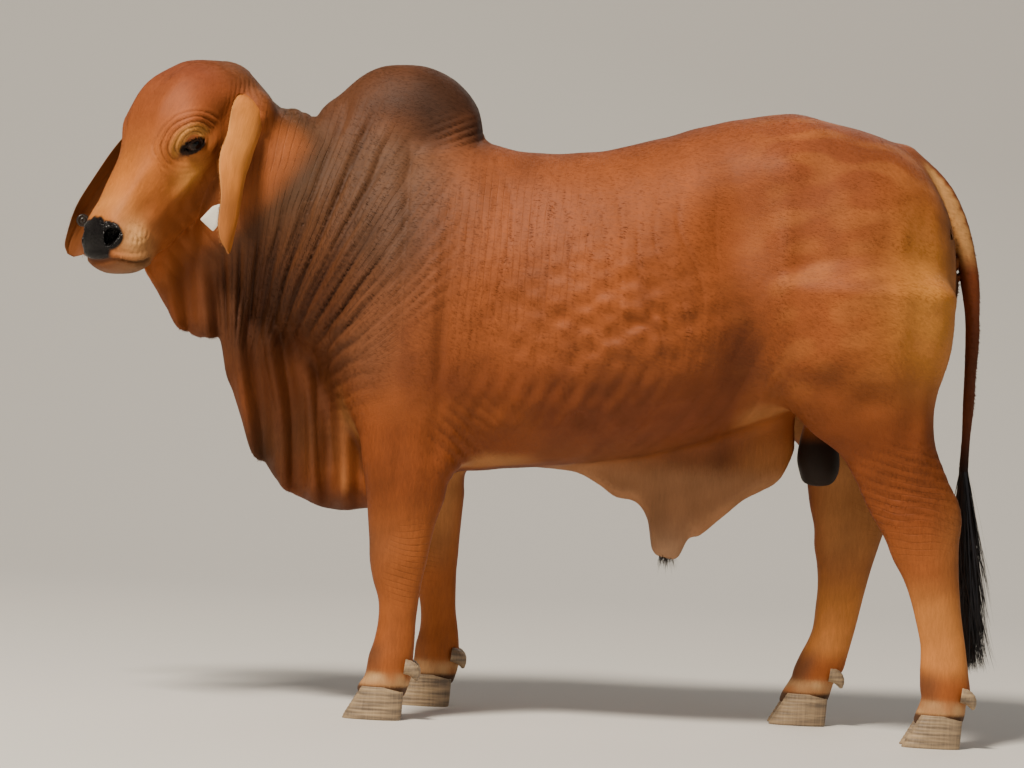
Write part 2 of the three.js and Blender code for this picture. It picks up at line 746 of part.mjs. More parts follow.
// The switch: a slim core with overlapping locks in tiers, down to a wispy end.
const SWITCH = { top: 640, low: 175, x: 1080, drift: 38, tiers: 6, around: 4, lock: 15, bend: 12, core: 13 };
function tailSwitch() {
  const draw = draws(20251);
  const along = (t) => vec(SWITCH.x + SWITCH.drift * t ** 1.2, 0, mix(SWITCH.top, SWITCH.low, t));
  const core = tube(
    new THREE.CatmullRomCurve3([along(0), along(0.3), along(0.62)]),
    (t) => mix(SWITCH.core, 6, t),
    8,
    7,
  );
  const locks = [];
  for (let tier = 0; tier < SWITCH.tiers; tier += 1) {
    for (let i = 0; i < SWITCH.around; i += 1) {
      const angle = ((i + 0.5 * (tier % 2) + 0.2 * draw()) / SWITCH.around) * 2 * Math.PI;
      const out = vec(Math.cos(angle), Math.sin(angle), 0);
      const start = 0.1 + (0.46 * tier) / SWITCH.tiers;
      const end = Math.min(1, start + 0.34 + 0.16 * draw());
      const spread = 27 - 9 * end;
      const root = along(start).addScaledVector(out, 5);
      const tip = along(end).addScaledVector(out, spread * (0.5 + 0.6 * draw()));
      locks.push(lock(root, tip, SWITCH.lock, out.clone().multiplyScalar(SWITCH.bend)));
    }
  }
  return joined(core, ...locks);
}

// One of the two claws of a hoof: toe forward, its inner wall flattened, its sole flat on the floor.
function claw(x, y, inward) {
  const rows = 6;
  return lofted(12, rows, (turn, along) => {
    const [c, s] = [Math.cos(turn * 2 * Math.PI), Math.sin(turn * 2 * Math.PI)];
    const level = Math.min(1, Math.max(0, (along * rows - 1) / (rows - 2)));
    const half = CLAW_HALF_WIDTH - CLAW_TAPER.half * level;
    const flat = c * inward > 0 ? CLAW_FLAT : 1;
    const reach = (CLAW_LENGTH - CLAW_TAPER.reach * level) * (s < 0 ? 1 : 0.86);
    const height = level * (CORONET + 4 - Math.max(0, CLAW_TAPER.heel * s));
    return vec(
      x + CLAW_FORWARD - CLAW_TOE * (1 - level) + s * reach,
      y + signedPower(c, 0.85) * half * flat,
      height,
    );
  });
}

// A dewclaw: a small horn cone behind the fetlock.
function dewclaw(x, y) {
  const root = vec(x - DEWCLAW.reach, y, DEWCLAW.top);
  const bend = vec(x + DEWCLAW.reach, y, DEWCLAW.bend);
  const curve = new THREE.QuadraticBezierCurve3(root, bend, vec(x + DEWCLAW.tip, y, DEWCLAW.low));
  return tube(curve, (t) => DEWCLAW.radius * (1 - t ** 3) + 3, 6, 4, 1.1);
}

// Materials by the surface that they colour
const paint = (color, roughness) => new THREE.MeshStandardMaterial({ color, roughness, metalness: 0 });
const COAT = {
  red: paint(0x8e4a26, 0.7),
  dark: paint(0x4f3024, 0.7),
  tan: paint(0xa9683a, 0.7),
  pale: paint(0x9c7c63, 0.75),
  noseLeather: paint(0x24211f, 0.35),
  horn: paint(0x75604a, 0.5),
  eye: paint(0x140d09, 0.08),
  tag: paint(0xe8e6dc, 0.45),
  switchHair: paint(0x17110e, 0.6),
  blackSkin: paint(0x2a211c, 0.6),
};

const bull = new THREE.Group();

// Adds a solid to the bull as one named mesh.
function place(name, made, material) {
  const { vertProperties, triVerts, numProp } = largest(made).getMesh();
  const geometry = new THREE.BufferGeometry();
  const positions = new Float32Array((vertProperties.length / numProp) * 3);
  for (let i = 0; i < positions.length / 3; i += 1) {
    for (let k = 0; k < 3; k += 1) positions[3 * i + k] = vertProperties[numProp * i + k];
  }
  geometry.setAttribute("position", new THREE.BufferAttribute(positions, 3));
  geometry.setIndex(new THREE.BufferAttribute(Uint32Array.from(triVerts), 1));
  const mesh = new THREE.Mesh(geometry, material);
  mesh.name = name;
  bull.add(mesh);
  return mesh;
}

// Torso, hump and neck
const trunkGrown = trunk(GAP);
const humpGrown = hump(GAP);
const headGrown = head(GAP);
const neckGrown = neck(GAP);
const legShape = (l, grow) => leg(l.table, l.side, l.stance, l.shift, 12, 23, grow);
const legsGrown = LEGS.map((l) => legShape(l, GAP));

place("torso", trunk(), COAT.red);
place("hump", without(hump(), trunkGrown), COAT.dark);
place("neck", without(neck(), trunkGrown, humpGrown, headGrown), COAT.dark);
place("dewlap", without(dewlap(), trunkGrown, neckGrown, headGrown, ...legsGrown.slice(0, 2)), COAT.dark);

// Head, jaw, nose, eyes and ears
const sides = [
  ["left", 1],
  ["right", -1],
];
const eyeBall = (side, grow) =>
  headBall(EYE.s, side * EYE.l, EYE.h, EYE_RADIUS + grow, EYE_RADIUS + grow, EYE_RADIUS + grow);
const nostril = (side) => headBall(NOSTRIL.s, side * NOSTRIL.l, NOSTRIL.h, 24, 18, 11, 12, 8);
const noseRegion = (grow) =>
  headBall(NOSE.s, 0, NOSE.h, NOSE.reach + grow, NOSE.half + grow, NOSE.height + grow, 18, 9);
const lidded = joined(head(), ...sides.flatMap(([, side]) => [lid(side, LID.upper), lid(side, LID.lower)]));
const hollows = sides.flatMap(([, side]) => [eyeBall(side, GAP), nostril(side)]);
const cutHead = without(lidded, ...hollows, lipGroove());
place("head", without(cutHead, jawRegion(GAP), noseRegion(GAP)), COAT.tan);
place("lower_lip", cutHead.intersect(jawRegion(0)), COAT.tan);
place("nose_pad", without(cutHead.intersect(noseRegion(0)), jawRegion(GAP)), COAT.noseLeather);
for (const [name, side] of sides) {
  place(`eye_${name}`, eyeBall(side, 0), COAT.eye);
  place(`ear_${name}`, without(ear(name), headGrown, neckGrown), COAT.tan);
}
place("tag_button_right", without(tagButton(), ear("right")), COAT.tag);
place("ear_tag_left", without(earTag(), ear("left")), COAT.tag);

// Legs, hooves and dewclaws
const FAR = 3000;
LEGS.forEach((l, i) => {
  const whole = without(legShape(l, 0), trunkGrown);
  const upper = block(vec(-FAR, -FAR, l.joint + GAP), vec(FAR, FAR, FAR));
  const lower = block(vec(-FAR, -FAR, -FAR), vec(FAR, FAR, l.joint));
  place(`${l.name}_upper`, whole.intersect(upper), COAT.red);
  place(`${l.name}_lower`, whole.intersect(lower), COAT.tan);
  const x = (l.table.front(CORONET) + l.table.back(CORONET)) / 2 + l.shift(CORONET);
  const heel = l.table.back(HEEL_HEIGHT) + l.shift(HEEL_HEIGHT);
  for (const [which, inward] of [["outer", 1], ["inner", -1]]) {
    const y = l.side * (l.stance + inward * CLAW_SPACING);
    place(`${l.name}_claw_${which}`, without(claw(x, y, -l.side * inward), legsGrown[i]), COAT.horn);
    place(`${l.name}_dewclaw_${which}`, without(dewclaw(heel, y), legsGrown[i]), COAT.horn);
  }
});

// Sheath, scrotum and tail
place("sheath", without(sheath(), trunkGrown, ...legsGrown.slice(2)), COAT.pale);
place("scrotum", without(scrotum(), trunkGrown, sheath(GAP), ...legsGrown.slice(2)), COAT.blackSkin);
const wholeTail = without(tail(), trunkGrown);
const tailSpans = [FAR, ...TAIL_CUTS, -FAR];
["tail_root", "tail_middle", "tail_lower"].forEach((name, i) => {
  const span = block(vec(-FAR, -FAR, tailSpans[i + 1] + GAP), vec(FAR, FAR, tailSpans[i]));
  place(name, wholeTail.intersect(span), COAT.red);
});
place("tail_switch", without(tailSwitch(), tail(GAP), ...legsGrown.slice(2)), COAT.switchHair);

// The floor point under the middle of the bull is its origin.
const bounds = new THREE.Box3().setFromObject(bull);
const middle = bounds.getCenter(vec());
bull.position.set(-middle.x, -middle.y, -bounds.min.z);

export default bull;
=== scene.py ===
"""The looks of a standing red Brahman bull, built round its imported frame.

One skin is worked out as the zero level of a smooth field: every limb is a row of sections through named
stations, the sections are melted together with a smooth least value, and folds are lifted out of the field.
The design frame has its muzzle towards -X, its left side towards -Y and the floor at z = 0, in metres.
"""

import math
from functools import partial

import bpy
import numpy as np
from mathutils import Matrix, Vector


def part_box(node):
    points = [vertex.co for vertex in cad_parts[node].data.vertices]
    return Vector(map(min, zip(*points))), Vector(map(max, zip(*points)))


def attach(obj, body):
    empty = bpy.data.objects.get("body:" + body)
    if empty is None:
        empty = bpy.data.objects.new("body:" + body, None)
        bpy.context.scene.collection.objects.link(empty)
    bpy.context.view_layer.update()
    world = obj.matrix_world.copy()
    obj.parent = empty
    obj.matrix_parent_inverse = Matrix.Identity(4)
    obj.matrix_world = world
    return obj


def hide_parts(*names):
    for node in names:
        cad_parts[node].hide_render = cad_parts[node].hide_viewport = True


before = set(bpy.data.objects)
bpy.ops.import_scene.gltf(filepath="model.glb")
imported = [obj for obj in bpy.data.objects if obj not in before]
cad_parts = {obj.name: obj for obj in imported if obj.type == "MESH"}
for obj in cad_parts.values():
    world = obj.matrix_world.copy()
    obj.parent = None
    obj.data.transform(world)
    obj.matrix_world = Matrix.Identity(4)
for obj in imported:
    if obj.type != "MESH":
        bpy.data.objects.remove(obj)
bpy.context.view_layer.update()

bl_info = {
    "name": "Brahman bull",
    "version": (1, 0, 0),
    "blender": (4, 5, 0),
    "location": "3D View > Sidebar > Bull",
    "description": "Builds a life-size Brahman bull with skin folds, coat, eyes, hooves and tail switch",
    "category": "Add Mesh",
}

MM = 0.001
TAU = 2 * math.pi


# Curves through stations


def through(points):
    """A smooth function through [at, value] points, level beyond its ends (cubic Hermite, chord slopes)."""
    xs, ys = np.array(points, float).T
    before = np.maximum(np.arange(len(xs)) - 1, 0)
    after = np.minimum(np.arange(len(xs)) + 1, len(xs) - 1)
    slopes = (ys[after] - ys[before]) / (xs[after] - xs[before])

    def value(at):
        at = np.clip(at, xs[0], xs[-1])
        i = np.clip(np.searchsorted(xs, at, side="right") - 1, 0, len(xs) - 2)
        span = xs[i + 1] - xs[i]
        t = (at - xs[i]) / span
        t2, t3 = t * t, t * t * t
        return (
            ys[i] * (2 * t3 - 3 * t2 + 1)
            + slopes[i] * span * (t3 - 2 * t2 + t)
            + ys[i + 1] * (3 * t2 - 2 * t3)
            + slopes[i + 1] * span * (t3 - t2)
        )

    return value


def stations(names, rows):
    """Each named column of a table in millimetres as a function, in metres, of the first column."""
    rows = np.array(rows, float)
    table = {"first": rows[0, 0] * MM, "last": rows[-1, 0] * MM}
    for k, name in enumerate(names):
        unit = 1 if name in ("up", "down") else MM
        table[name] = through(np.stack([rows[:, 0] * MM, rows[:, k + 1] * unit], 1))
    return table


TRUNK = stations(
    ("top", "low", "half", "wide", "up", "down"),
    [
        (-452, 1010, 900, 40, 960, 2, 2),
        (-430, 1180, 760, 140, 930, 2, 2),
        (-380, 1300, 660, 208, 900, 2.1, 2.1),
        (-280, 1368, 585, 258, 900, 2.1, 2.2),
        (-150, 1370, 572, 286, 900, 2.1, 2.3),
        (0, 1342, 588, 302, 900, 2.2, 2.3),
        (150, 1347, 604, 320, 905, 2.3, 2.3),
        (300, 1384, 628, 326, 925, 2.3, 2.2),
        (450, 1431, 668, 312, 960, 2.4, 2.1),
        (560, 1455, 712, 296, 1000, 2.5, 2),
        (640, 1463, 745, 290, 1030, 2.5, 2),
        (760, 1440, 800, 290, 1060, 2.3, 2),
        (860, 1413, 850, 268, 1070, 2.1, 2),
        (930, 1368, 880, 236, 1075, 2, 2),
        (985, 1290, 915, 190, 1080, 2, 2),
        (1022, 1200, 960, 120, 1080, 2, 2),
        (1036, 1110, 1040, 30, 1075, 2, 2),
    ],
)
HUMP = stations(
    ("top", "low", "half", "wide", "up", "down"),
    [
        (-500, 1330, 1300, 20, 1315, 2, 2),
        (-480, 1408, 1250, 78, 1300, 2.1, 2),
        (-430, 1466, 1220, 100, 1310, 2.1, 2),
        (-380, 1508, 1210, 116, 1330, 2.1, 2),
        (-320, 1530, 1210, 124, 1345, 2.1, 2),
        (-260, 1533, 1210, 124, 1350, 2.1, 2),
        (-200, 1516, 1220, 114, 1345, 2.1, 2),
        (-150, 1484, 1240, 98, 1350, 2, 2),
        (-115, 1440, 1290, 74, 1360, 2, 2),
        (-99, 1392, 1340, 30, 1366, 2, 2),
    ],
)
NECK = stations(
    ("top", "low", "half", "wide", "up", "down", "middle"),
    [
        (-760, 1380, 1080, 60, 1230, 2, 2, -130),
        (-735, 1435, 1040, 100, 1230, 2, 2, -120),
        (-690, 1448, 1000, 122, 1220, 2, 2, -103),
        (-640, 1440, 960, 136, 1200, 2, 2, -84),
        (-575, 1416, 910, 152, 1170, 2, 2, -60),
        (-505, 1402, 850, 176, 1120, 2, 2, -36),
        (-430, 1392, 780, 206, 1060, 2, 2, -18),
        (-350, 1380, 700, 236, 1000, 2, 2, -6),
        (-280, 1360, 640, 240, 950, 2, 2, 0),
        (-240, 1250, 760, 150, 950, 2, 2, 0),
    ],
)
DEWLAP = stations(
    ("low", "top", "half", "middle"),
    [
        (-872, 1022, 1060, 16, -210),
        (-852, 990, 1080, 20, -200),
        (-818, 934, 1100, 24, -180),
        (-784, 884, 1120, 27, -160),
        (-732, 863, 1140, 30, -135),
        (-690, 856, 1160, 32, -110),
        (-672, 780, 1160, 34, -100),
        (-655, 738, 1150, 36, -90),
        (-630, 668, 1130, 38, -74),
        (-606, 600, 1110, 40, -60),
        (-570, 568, 1080, 42, -48),
        (-530, 518, 1040, 46, -34),
        (-481, 490, 1000, 54, -20),
        (-428, 472, 960, 66, -10),
        (-380, 470, 900, 78, -4),
        (-330, 474, 860, 84, 0),
        (-270, 500, 820, 84, 0),
        (-200, 545, 780, 70, 0),
        (-140, 580, 740, 20, 0),
    ],
)
SHEATH = stations(
    ("low", "top", "half"),
    [
        (90, 606, 640, 12),
        (120, 598, 660, 22),
        (172, 583, 680, 30),
        (221, 559, 690, 32),
        (258, 534, 700, 32),
        (310, 520, 710, 33),
        (338, 480, 710, 35),
        (352, 412, 715, 38),
        (384, 394, 720, 40),
        (414, 398, 725, 38),
        (436, 440, 730, 36),
        (464, 452, 735, 34),
        (510, 493, 750, 32),
        (555, 535, 770, 30),
        (601, 562, 790, 28),
        (647, 597, 800, 24),
        (676, 660, 790, 10),
    ],
)
SCROTUM = stations(
    ("front", "back", "half"),
    [
        (583, 722, 745, 14),
        (590, 702, 768, 42),
        (614, 690, 784, 60),
        (645, 682, 788, 64),
        (690, 686, 782, 56),
        (735, 694, 772, 42),
        (800, 690, 780, 36),
    ],
)
FORELEG = stations(
    ("front", "back", "half", "middle"),
    [
        (50, -322, -214, 44, 0),
        (72, -326, -206, 46, 0),
        (99, -310, -197, 45, 0),
        (146, -302, -193, 44, 0),
        (182, -291, -193, 40, 0),
        (229, -284, -194, 37, 0),
        (276, -286, -190, 38, 0),
        (326, -303, -184, 47, 0),
        (368, -313, -175, 54, 0),
        (422, -316, -165, 54, 0),
        (469, -320, -155, 58, 0),
        (517, -323, -142, 64, 0),
        (552, -326, -136, 68, 0),
        (599, -336, -118, 74, -4),
        (657, -346, -122, 80, -14),
        (738, -368, -120, 84, -26),
        (830, -384, -110, 84, -44),
        (950, -370, -100, 70, -60),
        (1060, -330, -120, 30, -80),
    ],
)
HINDLEG = stations(
    ("front", "back", "half", "middle"),
    [
        (50, 972, 1088, 43, 0),
        (72, 976, 1096, 45, 0),
        (111, 988, 1100, 44, 0),
        (134, 985, 1106, 45, 0),
        (162, 984, 1102, 44, 0),
        (227, 982, 1090, 40, 0),
        (273, 972, 1082, 39, 0),
        (331, 955, 1073, 42, 0),
        (388, 931, 1066, 48, 0),
        (433, 905, 1063, 52, 0),
        (478, 884, 1061, 54, 0),
        (530, 852, 1064, 52, 0),
        (570, 830, 1056, 50, 0),
        (614, 807, 1034, 54, 0),
        (670, 769, 1006, 66, 0),
        (719, 700, 991, 82, 0),
        (774, 650, 986, 100, 2),
        (821, 622, 992, 114, 4),
        (868, 606, 1004, 124, 6),
        (927, 596, 1015, 130, 8),
        (1000, 600, 1021, 128, 14),
        (1080, 620, 1012, 112, 26),
        (1170, 720, 920, 56, 8),
    ],
)


def shift_curve(rows):
    """How far a leg leans forward or back at each height, in metres."""
    return through(np.array(rows, float) * MM)


STILL = shift_curve([(0, 0), (1000, 0)])
FORE_RIGHT = shift_curve([(0, 112), (160, 98), (400, 64), (600, 30), (900, 0)])
HIND_RIGHT = shift_curve(
    [(0, -292), (92, -285), (147, -266), (233, -228), (307, -202), (400, -170), (490, -136), (570, -106)]
    + [(700, -60), (850, -20), (1000, 0)]
)
LEGS = (
    (FORELEG, -1, 0.195, STILL),
    (FORELEG, 1, 0.195, FORE_RIGHT),
    (HINDLEG, -1, 0.190, STILL),
    (HINDLEG, 1, 0.190, HIND_RIGHT),
)

# The head's own frame: along the face from the poll, to its left, and up out of the forehead
HEAD_ORIGIN = np.array([-0.778, -0.165, 1.5])
HEAD_YAW, HEAD_PITCH = math.radians(43), math.radians(53)
FORWARD = np.array(
    [
        -math.cos(HEAD_PITCH) * math.cos(HEAD_YAW),
        -math.cos(HEAD_PITCH) * math.sin(HEAD_YAW),
        -math.sin(HEAD_PITCH),
    ]
)
LEFTWARD = np.array([math.sin(HEAD_YAW), -math.cos(HEAD_YAW), 0.0])
UPWARD = np.cross(FORWARD, LEFTWARD)
HEAD_AXES = np.stack([FORWARD, LEFTWARD, UPWARD])
HEAD = stations(
    ("top", "low", "half", "wide", "up", "down"),
    [
        (-60, -104, -150, 20, -126, 2, 2),
        (-52, -62, -180, 62, -120, 2, 2),
        (-34, -26, -206, 88, -110, 2.2, 2),
        (-8, 4, -228, 100, -102, 2.4, 2),
        (20, 22, -240, 106, -96, 2.4, 2),
        (70, 44, -256, 114, -86, 2.6, 2),
        (125, 52, -262, 118, -78, 2.7, 1.9),
        (175, 44, -256, 118, -76, 2.7, 1.8),
        (225, 26, -240, 104, -78, 2.6, 1.8),
        (280, 10, -240, 88, -82, 2.5, 1.8),
        (340, -1, -222, 77, -82, 2.5, 1.9),
        (395, -7, -208, 72, -86, 2.5, 2.1),
        (436, -8, -192, 74, -90, 2.5, 2.4),
        (470, -16, -178, 77, -96, 2.5, 2.6),
        (496, -32, -165, 74, -100, 2.4, 2.6),
        (517, -56, -144, 60, -102, 2.3, 2.4),
        (534, -82, -118, 26, -102, 2.2, 2.2),
    ],
)
EYE = np.array([0.192, 0.100, -0.058])
EYE_RADIUS = 0.023
EYE_LOOK = np.array([0.3, 0.87, 0.36]) / np.linalg.norm([0.3, 0.87, 0.36])
EYE_SLANT = np.array([0.9, 0, 0.44]) - EYE_LOOK * (0.9 * EYE_LOOK[0] + 0.44 * EYE_LOOK[2])
EYE_SLANT /= np.linalg.norm(EYE_SLANT)
EYE_OVER = np.cross(EYE_SLANT, EYE_LOOK)
MOUTH = [(531, -79), (520, -80), (512, -90), (503, -108), (490, -126), (474, -142), (455, -154)]
MOUTH = np.array(MOUTH) * MM
TAIL = np.array(
    [
        (905, 0, 1366),
        (952, 0, 1330),
        (1006, 0, 1270),
        (1048, 0, 1180),
        (1074, 0, 1080),
        (1083, 0, 960),
        (1083, 0, 840),
        (1081, 0, 720),
        (1080, 0, 610),
    ]
) * MM
TAIL_RADIUS = shift_curve([(0, 34), (150, 33), (350, 26), (600, 18), (1000, 12)])


def head_point(s, l, h):
    """The design point at s along the face, l to its left and h above it."""
    local = np.stack(np.broadcast_arrays(np.asarray(s, float), l, h), -1)
    return HEAD_ORIGIN + local @ HEAD_AXES


def head_local(p):
    """Face coordinates (along, left, up) of design points."""
    return (p - HEAD_ORIGIN) @ HEAD_AXES.T


EYE_SHIFT = np.array(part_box("eye_left")).mean(0) - head_point(*EYE)
EYE_SHIFT[2] = 0.0


# The field


def near(p, centre, reach):
    """A soft bump: 1 at the centre, falling off over reach along each axis: exp(-sum(((p - c) / r)^2))."""
    return np.exp(-(((p - np.asarray(centre)) / np.asarray(reach)) ** 2).sum(-1))


def both(p):
    """Points folded onto the left side, so that one line serves both sides."""
    q = p.copy()
    q[:, 1] = np.abs(q[:, 1])
    return q


def smooth_step(value, low, high):
    """0 below low, 1 above high, with a smooth rise t^2 (3 - 2t) between; low may be above high."""
    t = np.clip((value - low) / (high - low), 0, 1)
    return t * t * (3 - 2 * t)


def melt(a, b, width):
    """The smooth least value of two fields, rounded over width."""
    t = np.clip(0.5 + 0.5 * (b - a) / width, 0, 1)
    return b * (1 - t) + a * t - width * t * (1 - t)


def carve(a, b, width):
    """Field a with the inside of field b taken out, its edge rounded over width."""
    return -melt(-a, b, width)


def waver(p, size, seed):
    """A smooth wandering value from -1 to 1 that changes over about size metres: a sum of tilted sines."""
    draw = np.random.default_rng(seed)
    ways = draw.normal(size=(6, 3))
    ways /= np.linalg.norm(ways, axis=1, keepdims=True)
    phases = draw.uniform(0, TAU, 6)
    scale = TAU / size * draw.uniform(0.6, 1.5, 6)
    return np.sin(p @ (ways * scale[:, None]).T + phases).mean(-1) * 1.6


def oval(a, b, half_a, half_b, power):
    """Distance estimate to the curve (|a|/A)^n + (|b|/B)^n = 1: (q - 1) over the size of q's gradient."""
    u, v = np.abs(a) / half_a + 1e-6, np.abs(b) / half_b + 1e-6
    q = (u**power + v**power) ** (1 / power)
    steep = np.hypot(u ** (power - 1) / half_a, v ** (power - 1) / half_b) * q ** (1 - power)
    return (q - 1) / np.maximum(steep, 0.5 / np.maximum(half_a, half_b))


def beyond(d, at, first, last):
    """Closes a section field at its end stations: the smooth greatest of it and of the way past the end."""
    return -melt(-d, -np.maximum(first - at, at - last), 0.012)


def sectioned(table, x, y, z):
    """Field of sections across x with a top and a low line, a half width and its height."""
    wide = table["wide"](x)
    rise = z - wide
    up = rise >= 0
    height = np.where(up, table["top"](x) - wide, wide - table["low"](x))
    power = np.where(up, table["up"](x), table["down"](x))
    side = y - (table["middle"](x) if "middle" in table else 0)
    return beyond(oval(side, rise, table["half"](x), height, power), x, table["first"], table["last"])


def leg_field(p, table, side, stance, shift):
    """Field of one leg: sections across z with a front and a back line."""
    z = p[:, 2]
    front, back = table["front"](z), table["back"](z)
    a = p[:, 0] - (front + back) / 2 - shift(z)
    b = p[:, 1] - side * (stance + table["middle"](z))
    return beyond(oval(a, b, (back - front) / 2, table["half"](z), 2.1), z, table["first"], table["last"])


def hanging_field(p, table, rim=0.0, root=0.0, swing=0.0, pitch=1.0):
    """Field of a hanging sheet: a free low edge and a half width, with pleats that swing it side to side."""
    x, y, z = p.T
    low, top, half = table["low"](x), table["top"](x), table["half"](x)
    middle = table["middle"](x) if "middle" in table else 0 * x
    up = np.clip((z - low) / (top - low), 0, 1)
    wave = np.sin(TAU * (x + 0.12 * z) / pitch + 1.3 * waver(p, 0.5, 4))
    middle = middle + swing * wave * np.sqrt(1 - up)
    half = half * (1 + rim * np.exp(-(((up - 0.1) / 0.13) ** 2)) + root * np.maximum(0, up - 0.6) ** 1.5)
    d = oval(y - middle, z - (low + top) / 2, half, (top - low) / 2, 2.8)
    return beyond(d, x, table["first"], table["last"])


def path_points(points, count):
    """Even points along a Catmull-Rom curve through the given ones."""
    knots = np.arange(len(points), dtype=float)
    at = np.linspace(0, len(points) - 1, count)
    return np.stack([through(np.stack([knots, points[:, k]], 1))(at) for k in range(points.shape[1])], 1)


def chain_field(p, points, radii):
    """Field of a round bar along short straight pieces between points, its radius changing along them."""
    best = np.full(len(p), 9.0)
    for a, b, ra, rb in zip(points[:-1], points[1:], radii[:-1], radii[1:]):
        along = b - a
        t = np.clip((p - a) @ along / (along @ along), 0, 1)
        best = np.minimum(best, np.linalg.norm(p - a - t[:, None] * along, axis=1) - (ra + (rb - ra) * t))
    return best


TAIL_BONES = 24
TAIL_LINE = path_points(TAIL, TAIL_BONES)
TAIL_RADII = TAIL_RADIUS(np.linspace(0, 1, TAIL_BONES))


def eye_frame(q):
    """Offsets from the eye's centre along its look, its slant and over it, for points of the face."""
    away = np.stack([q[:, 0], np.abs(q[:, 1]), q[:, 2]], 1) - EYE
    return away @ EYE_LOOK, away @ EYE_SLANT, away @ EYE_OVER


def opening(along):
    """How far the upper and the lower lid stand from the eye's middle line, from corner to corner."""
    t = np.clip(along / 0.0245, -1, 1)
    arch = np.sqrt(np.maximum(0, 1 - t * t))
    return 0.0082 * arch**1.2 - 0.001, -0.0092 * arch**1.1 - 0.001


EAR_ROOT = np.array([(0.004, 0.040, -0.140), (0.016, 0.100, -0.146), (0.040, 0.126, -0.147)])
EAR_ROOT_RADII = (0.052, 0.046, 0.024)


def head_field(p):
    """Field of the head in its own frame: skull sections, brow, socket, lids, nostril and mouth."""
    q = head_local(p)
    s, l, h = q.T
    d = sectioned(HEAD, s, l, h)
    m = np.stack([s, np.abs(l), h], 1)
    for centre, reach, height in (
        ((0.168, 0.104, -0.014), (0.048, 0.036, 0.026), 0.017),
        ((0.240, 0.092, -0.050), (0.030, 0.030, 0.024), -0.008),
        ((0.186, 0.118, -0.092), (0.052, 0.040, 0.015), 0.006),
        ((0.086, 0.112, -0.098), (0.044, 0.050, 0.036), -0.010),
        ((0.262, 0.088, -0.112), (0.090, 0.040, 0.016), 0.007),
        ((0.300, 0.080, -0.160), (0.070, 0.040, 0.028), -0.007),
        ((0.112, 0.090, -0.186), (0.070, 0.050, 0.050), 0.010),
        ((0.320, 0.050, -0.020), (0.080, 0.018, 0.014), 0.004),
        ((0.390, 0.072, -0.066), (0.040, 0.026, 0.022), -0.005),
        ((0.452, 0.076, -0.094), (0.036, 0.034, 0.030), 0.010),
        ((0.404, 0.076, -0.120), (0.016, 0.034, 0.030), -0.005),
        ((0.215, 0.100, -0.118), (0.040, 0.040, 0.016), 0.004),
        ((0.150, 0.050, 0.040), (0.100, 0.016, 0.040), 0.003),
        ((0.424, 0.050, -0.200), (0.030, 0.060, 0.020), -0.006),
        ((0.060, 0.000, 0.046), (0.070, 0.014, 0.030), -0.003),
    ):
        d = d - height * near(m, centre, reach)
    poll = np.sqrt(((s + 0.030) / 0.047) ** 2 + (l / 0.086) ** 2 + ((h + 0.100) / 0.056) ** 2)
    d = melt(d, (poll - 1) * 0.05, 0.030)
    root = chain_field(m, EAR_ROOT, EAR_ROOT_RADII)
    d = melt(d, root, 0.026)
    lip = np.interp(-s, -MOUTH[:, 0], MOUTH[:, 1])
    to_lip = (h - lip) * 0.72
    inside = smooth_step(s, 0.448, 0.462)
    d = d - inside * (0.005 * np.exp(-(((to_lip - 0.010) / 0.008) ** 2)) - 0.001)
    d = d - inside * 0.004 * np.exp(-(((to_lip + 0.012) / 0.009) ** 2))
    d = d + inside * 0.0052 * np.exp(-((to_lip / 0.0034) ** 2))
    from_side, from_front = m[:, 1] - 0.046, m[:, 0] - 0.478
    side = np.stack([from_front * 0.86 - from_side * 0.5, from_front * 0.5 + from_side * 0.86], 1)
    comma = h + 0.044 + 14 * (side[:, 0] + 0.004) ** 2
    hole = np.sqrt((side[:, 0] / 0.022) ** 2 + (side[:, 1] / 0.016) ** 2 + (comma / 0.0130) ** 2)
    hole = hole * 0.013 - 0.013
    rim = np.exp(-(((hole - 0.004) / 0.006) ** 2))
    d = carve(d - 0.0035 * rim * smooth_step(s, 0.43, 0.46), hole, 0.006)
    return eye_socket(d, q)


# The brow's folds begin this far from the eye's middle, and follow one another at this step
BROW_START, BROW_STEP = 0.021, 0.0118


def brow_ring(q, along, over):
    """Distance from the eye's middle that the brow's folds follow: flatter than round, and wandering."""
    return np.hypot((along - 0.006) / 1.3, over - 0.006) + 0.0022 * waver(q, 0.06, 44)


def eye_socket(d, q):
    """Sinks the socket, wraps the lids round the eyeball and leaves the almond between them open."""
    out, along, over = eye_frame(q)
    away = np.sqrt(out**2 + along**2 + over**2)
    high, low = opening(along)
    ball = away - (EYE_RADIUS + 0.0052)
    d = melt(d, ball, 0.014)
    ring = brow_ring(q, along, over)
    lift = smooth_step(over + 0.25 * along, -0.004, 0.016)
    arcs = 0.0042 * crest((ring - BROW_START) / BROW_STEP, 0.9) * smooth_step(ring, 0.019, 0.026)
    arcs = arcs * smooth_step(ring, 0.084, 0.056) * (0.10 + 0.90 * lift) * smooth_step(out, -0.045, -0.010)
    d = d - arcs
    slit = np.maximum(np.maximum(over - high, low - over), np.abs(along) - 0.0245)
    slit = np.maximum(slit, -out - 0.004)
    return carve(d, slit, 0.0035)


EAR_SPINE = np.array(
    [
        (14, 84, -146),
        (26, 112, -148),
        (58, 138, -146),
        (134, 168, -146),
        (208, 196, -148),
        (285, 224, -164),
        (351, 242, -180),
        (398, 250, -194),
    ]
) * MM
EAR_SPREAD = {1: 1.0, -1: 1.28}
EAR_WIDTH = through(
    [(0, 0.042), (0.12, 0.062), (0.28, 0.075), (0.45, 0.071)]
    + [(0.7, 0.056), (0.88, 0.039), (0.96, 0.028), (1, 0.010)]
)


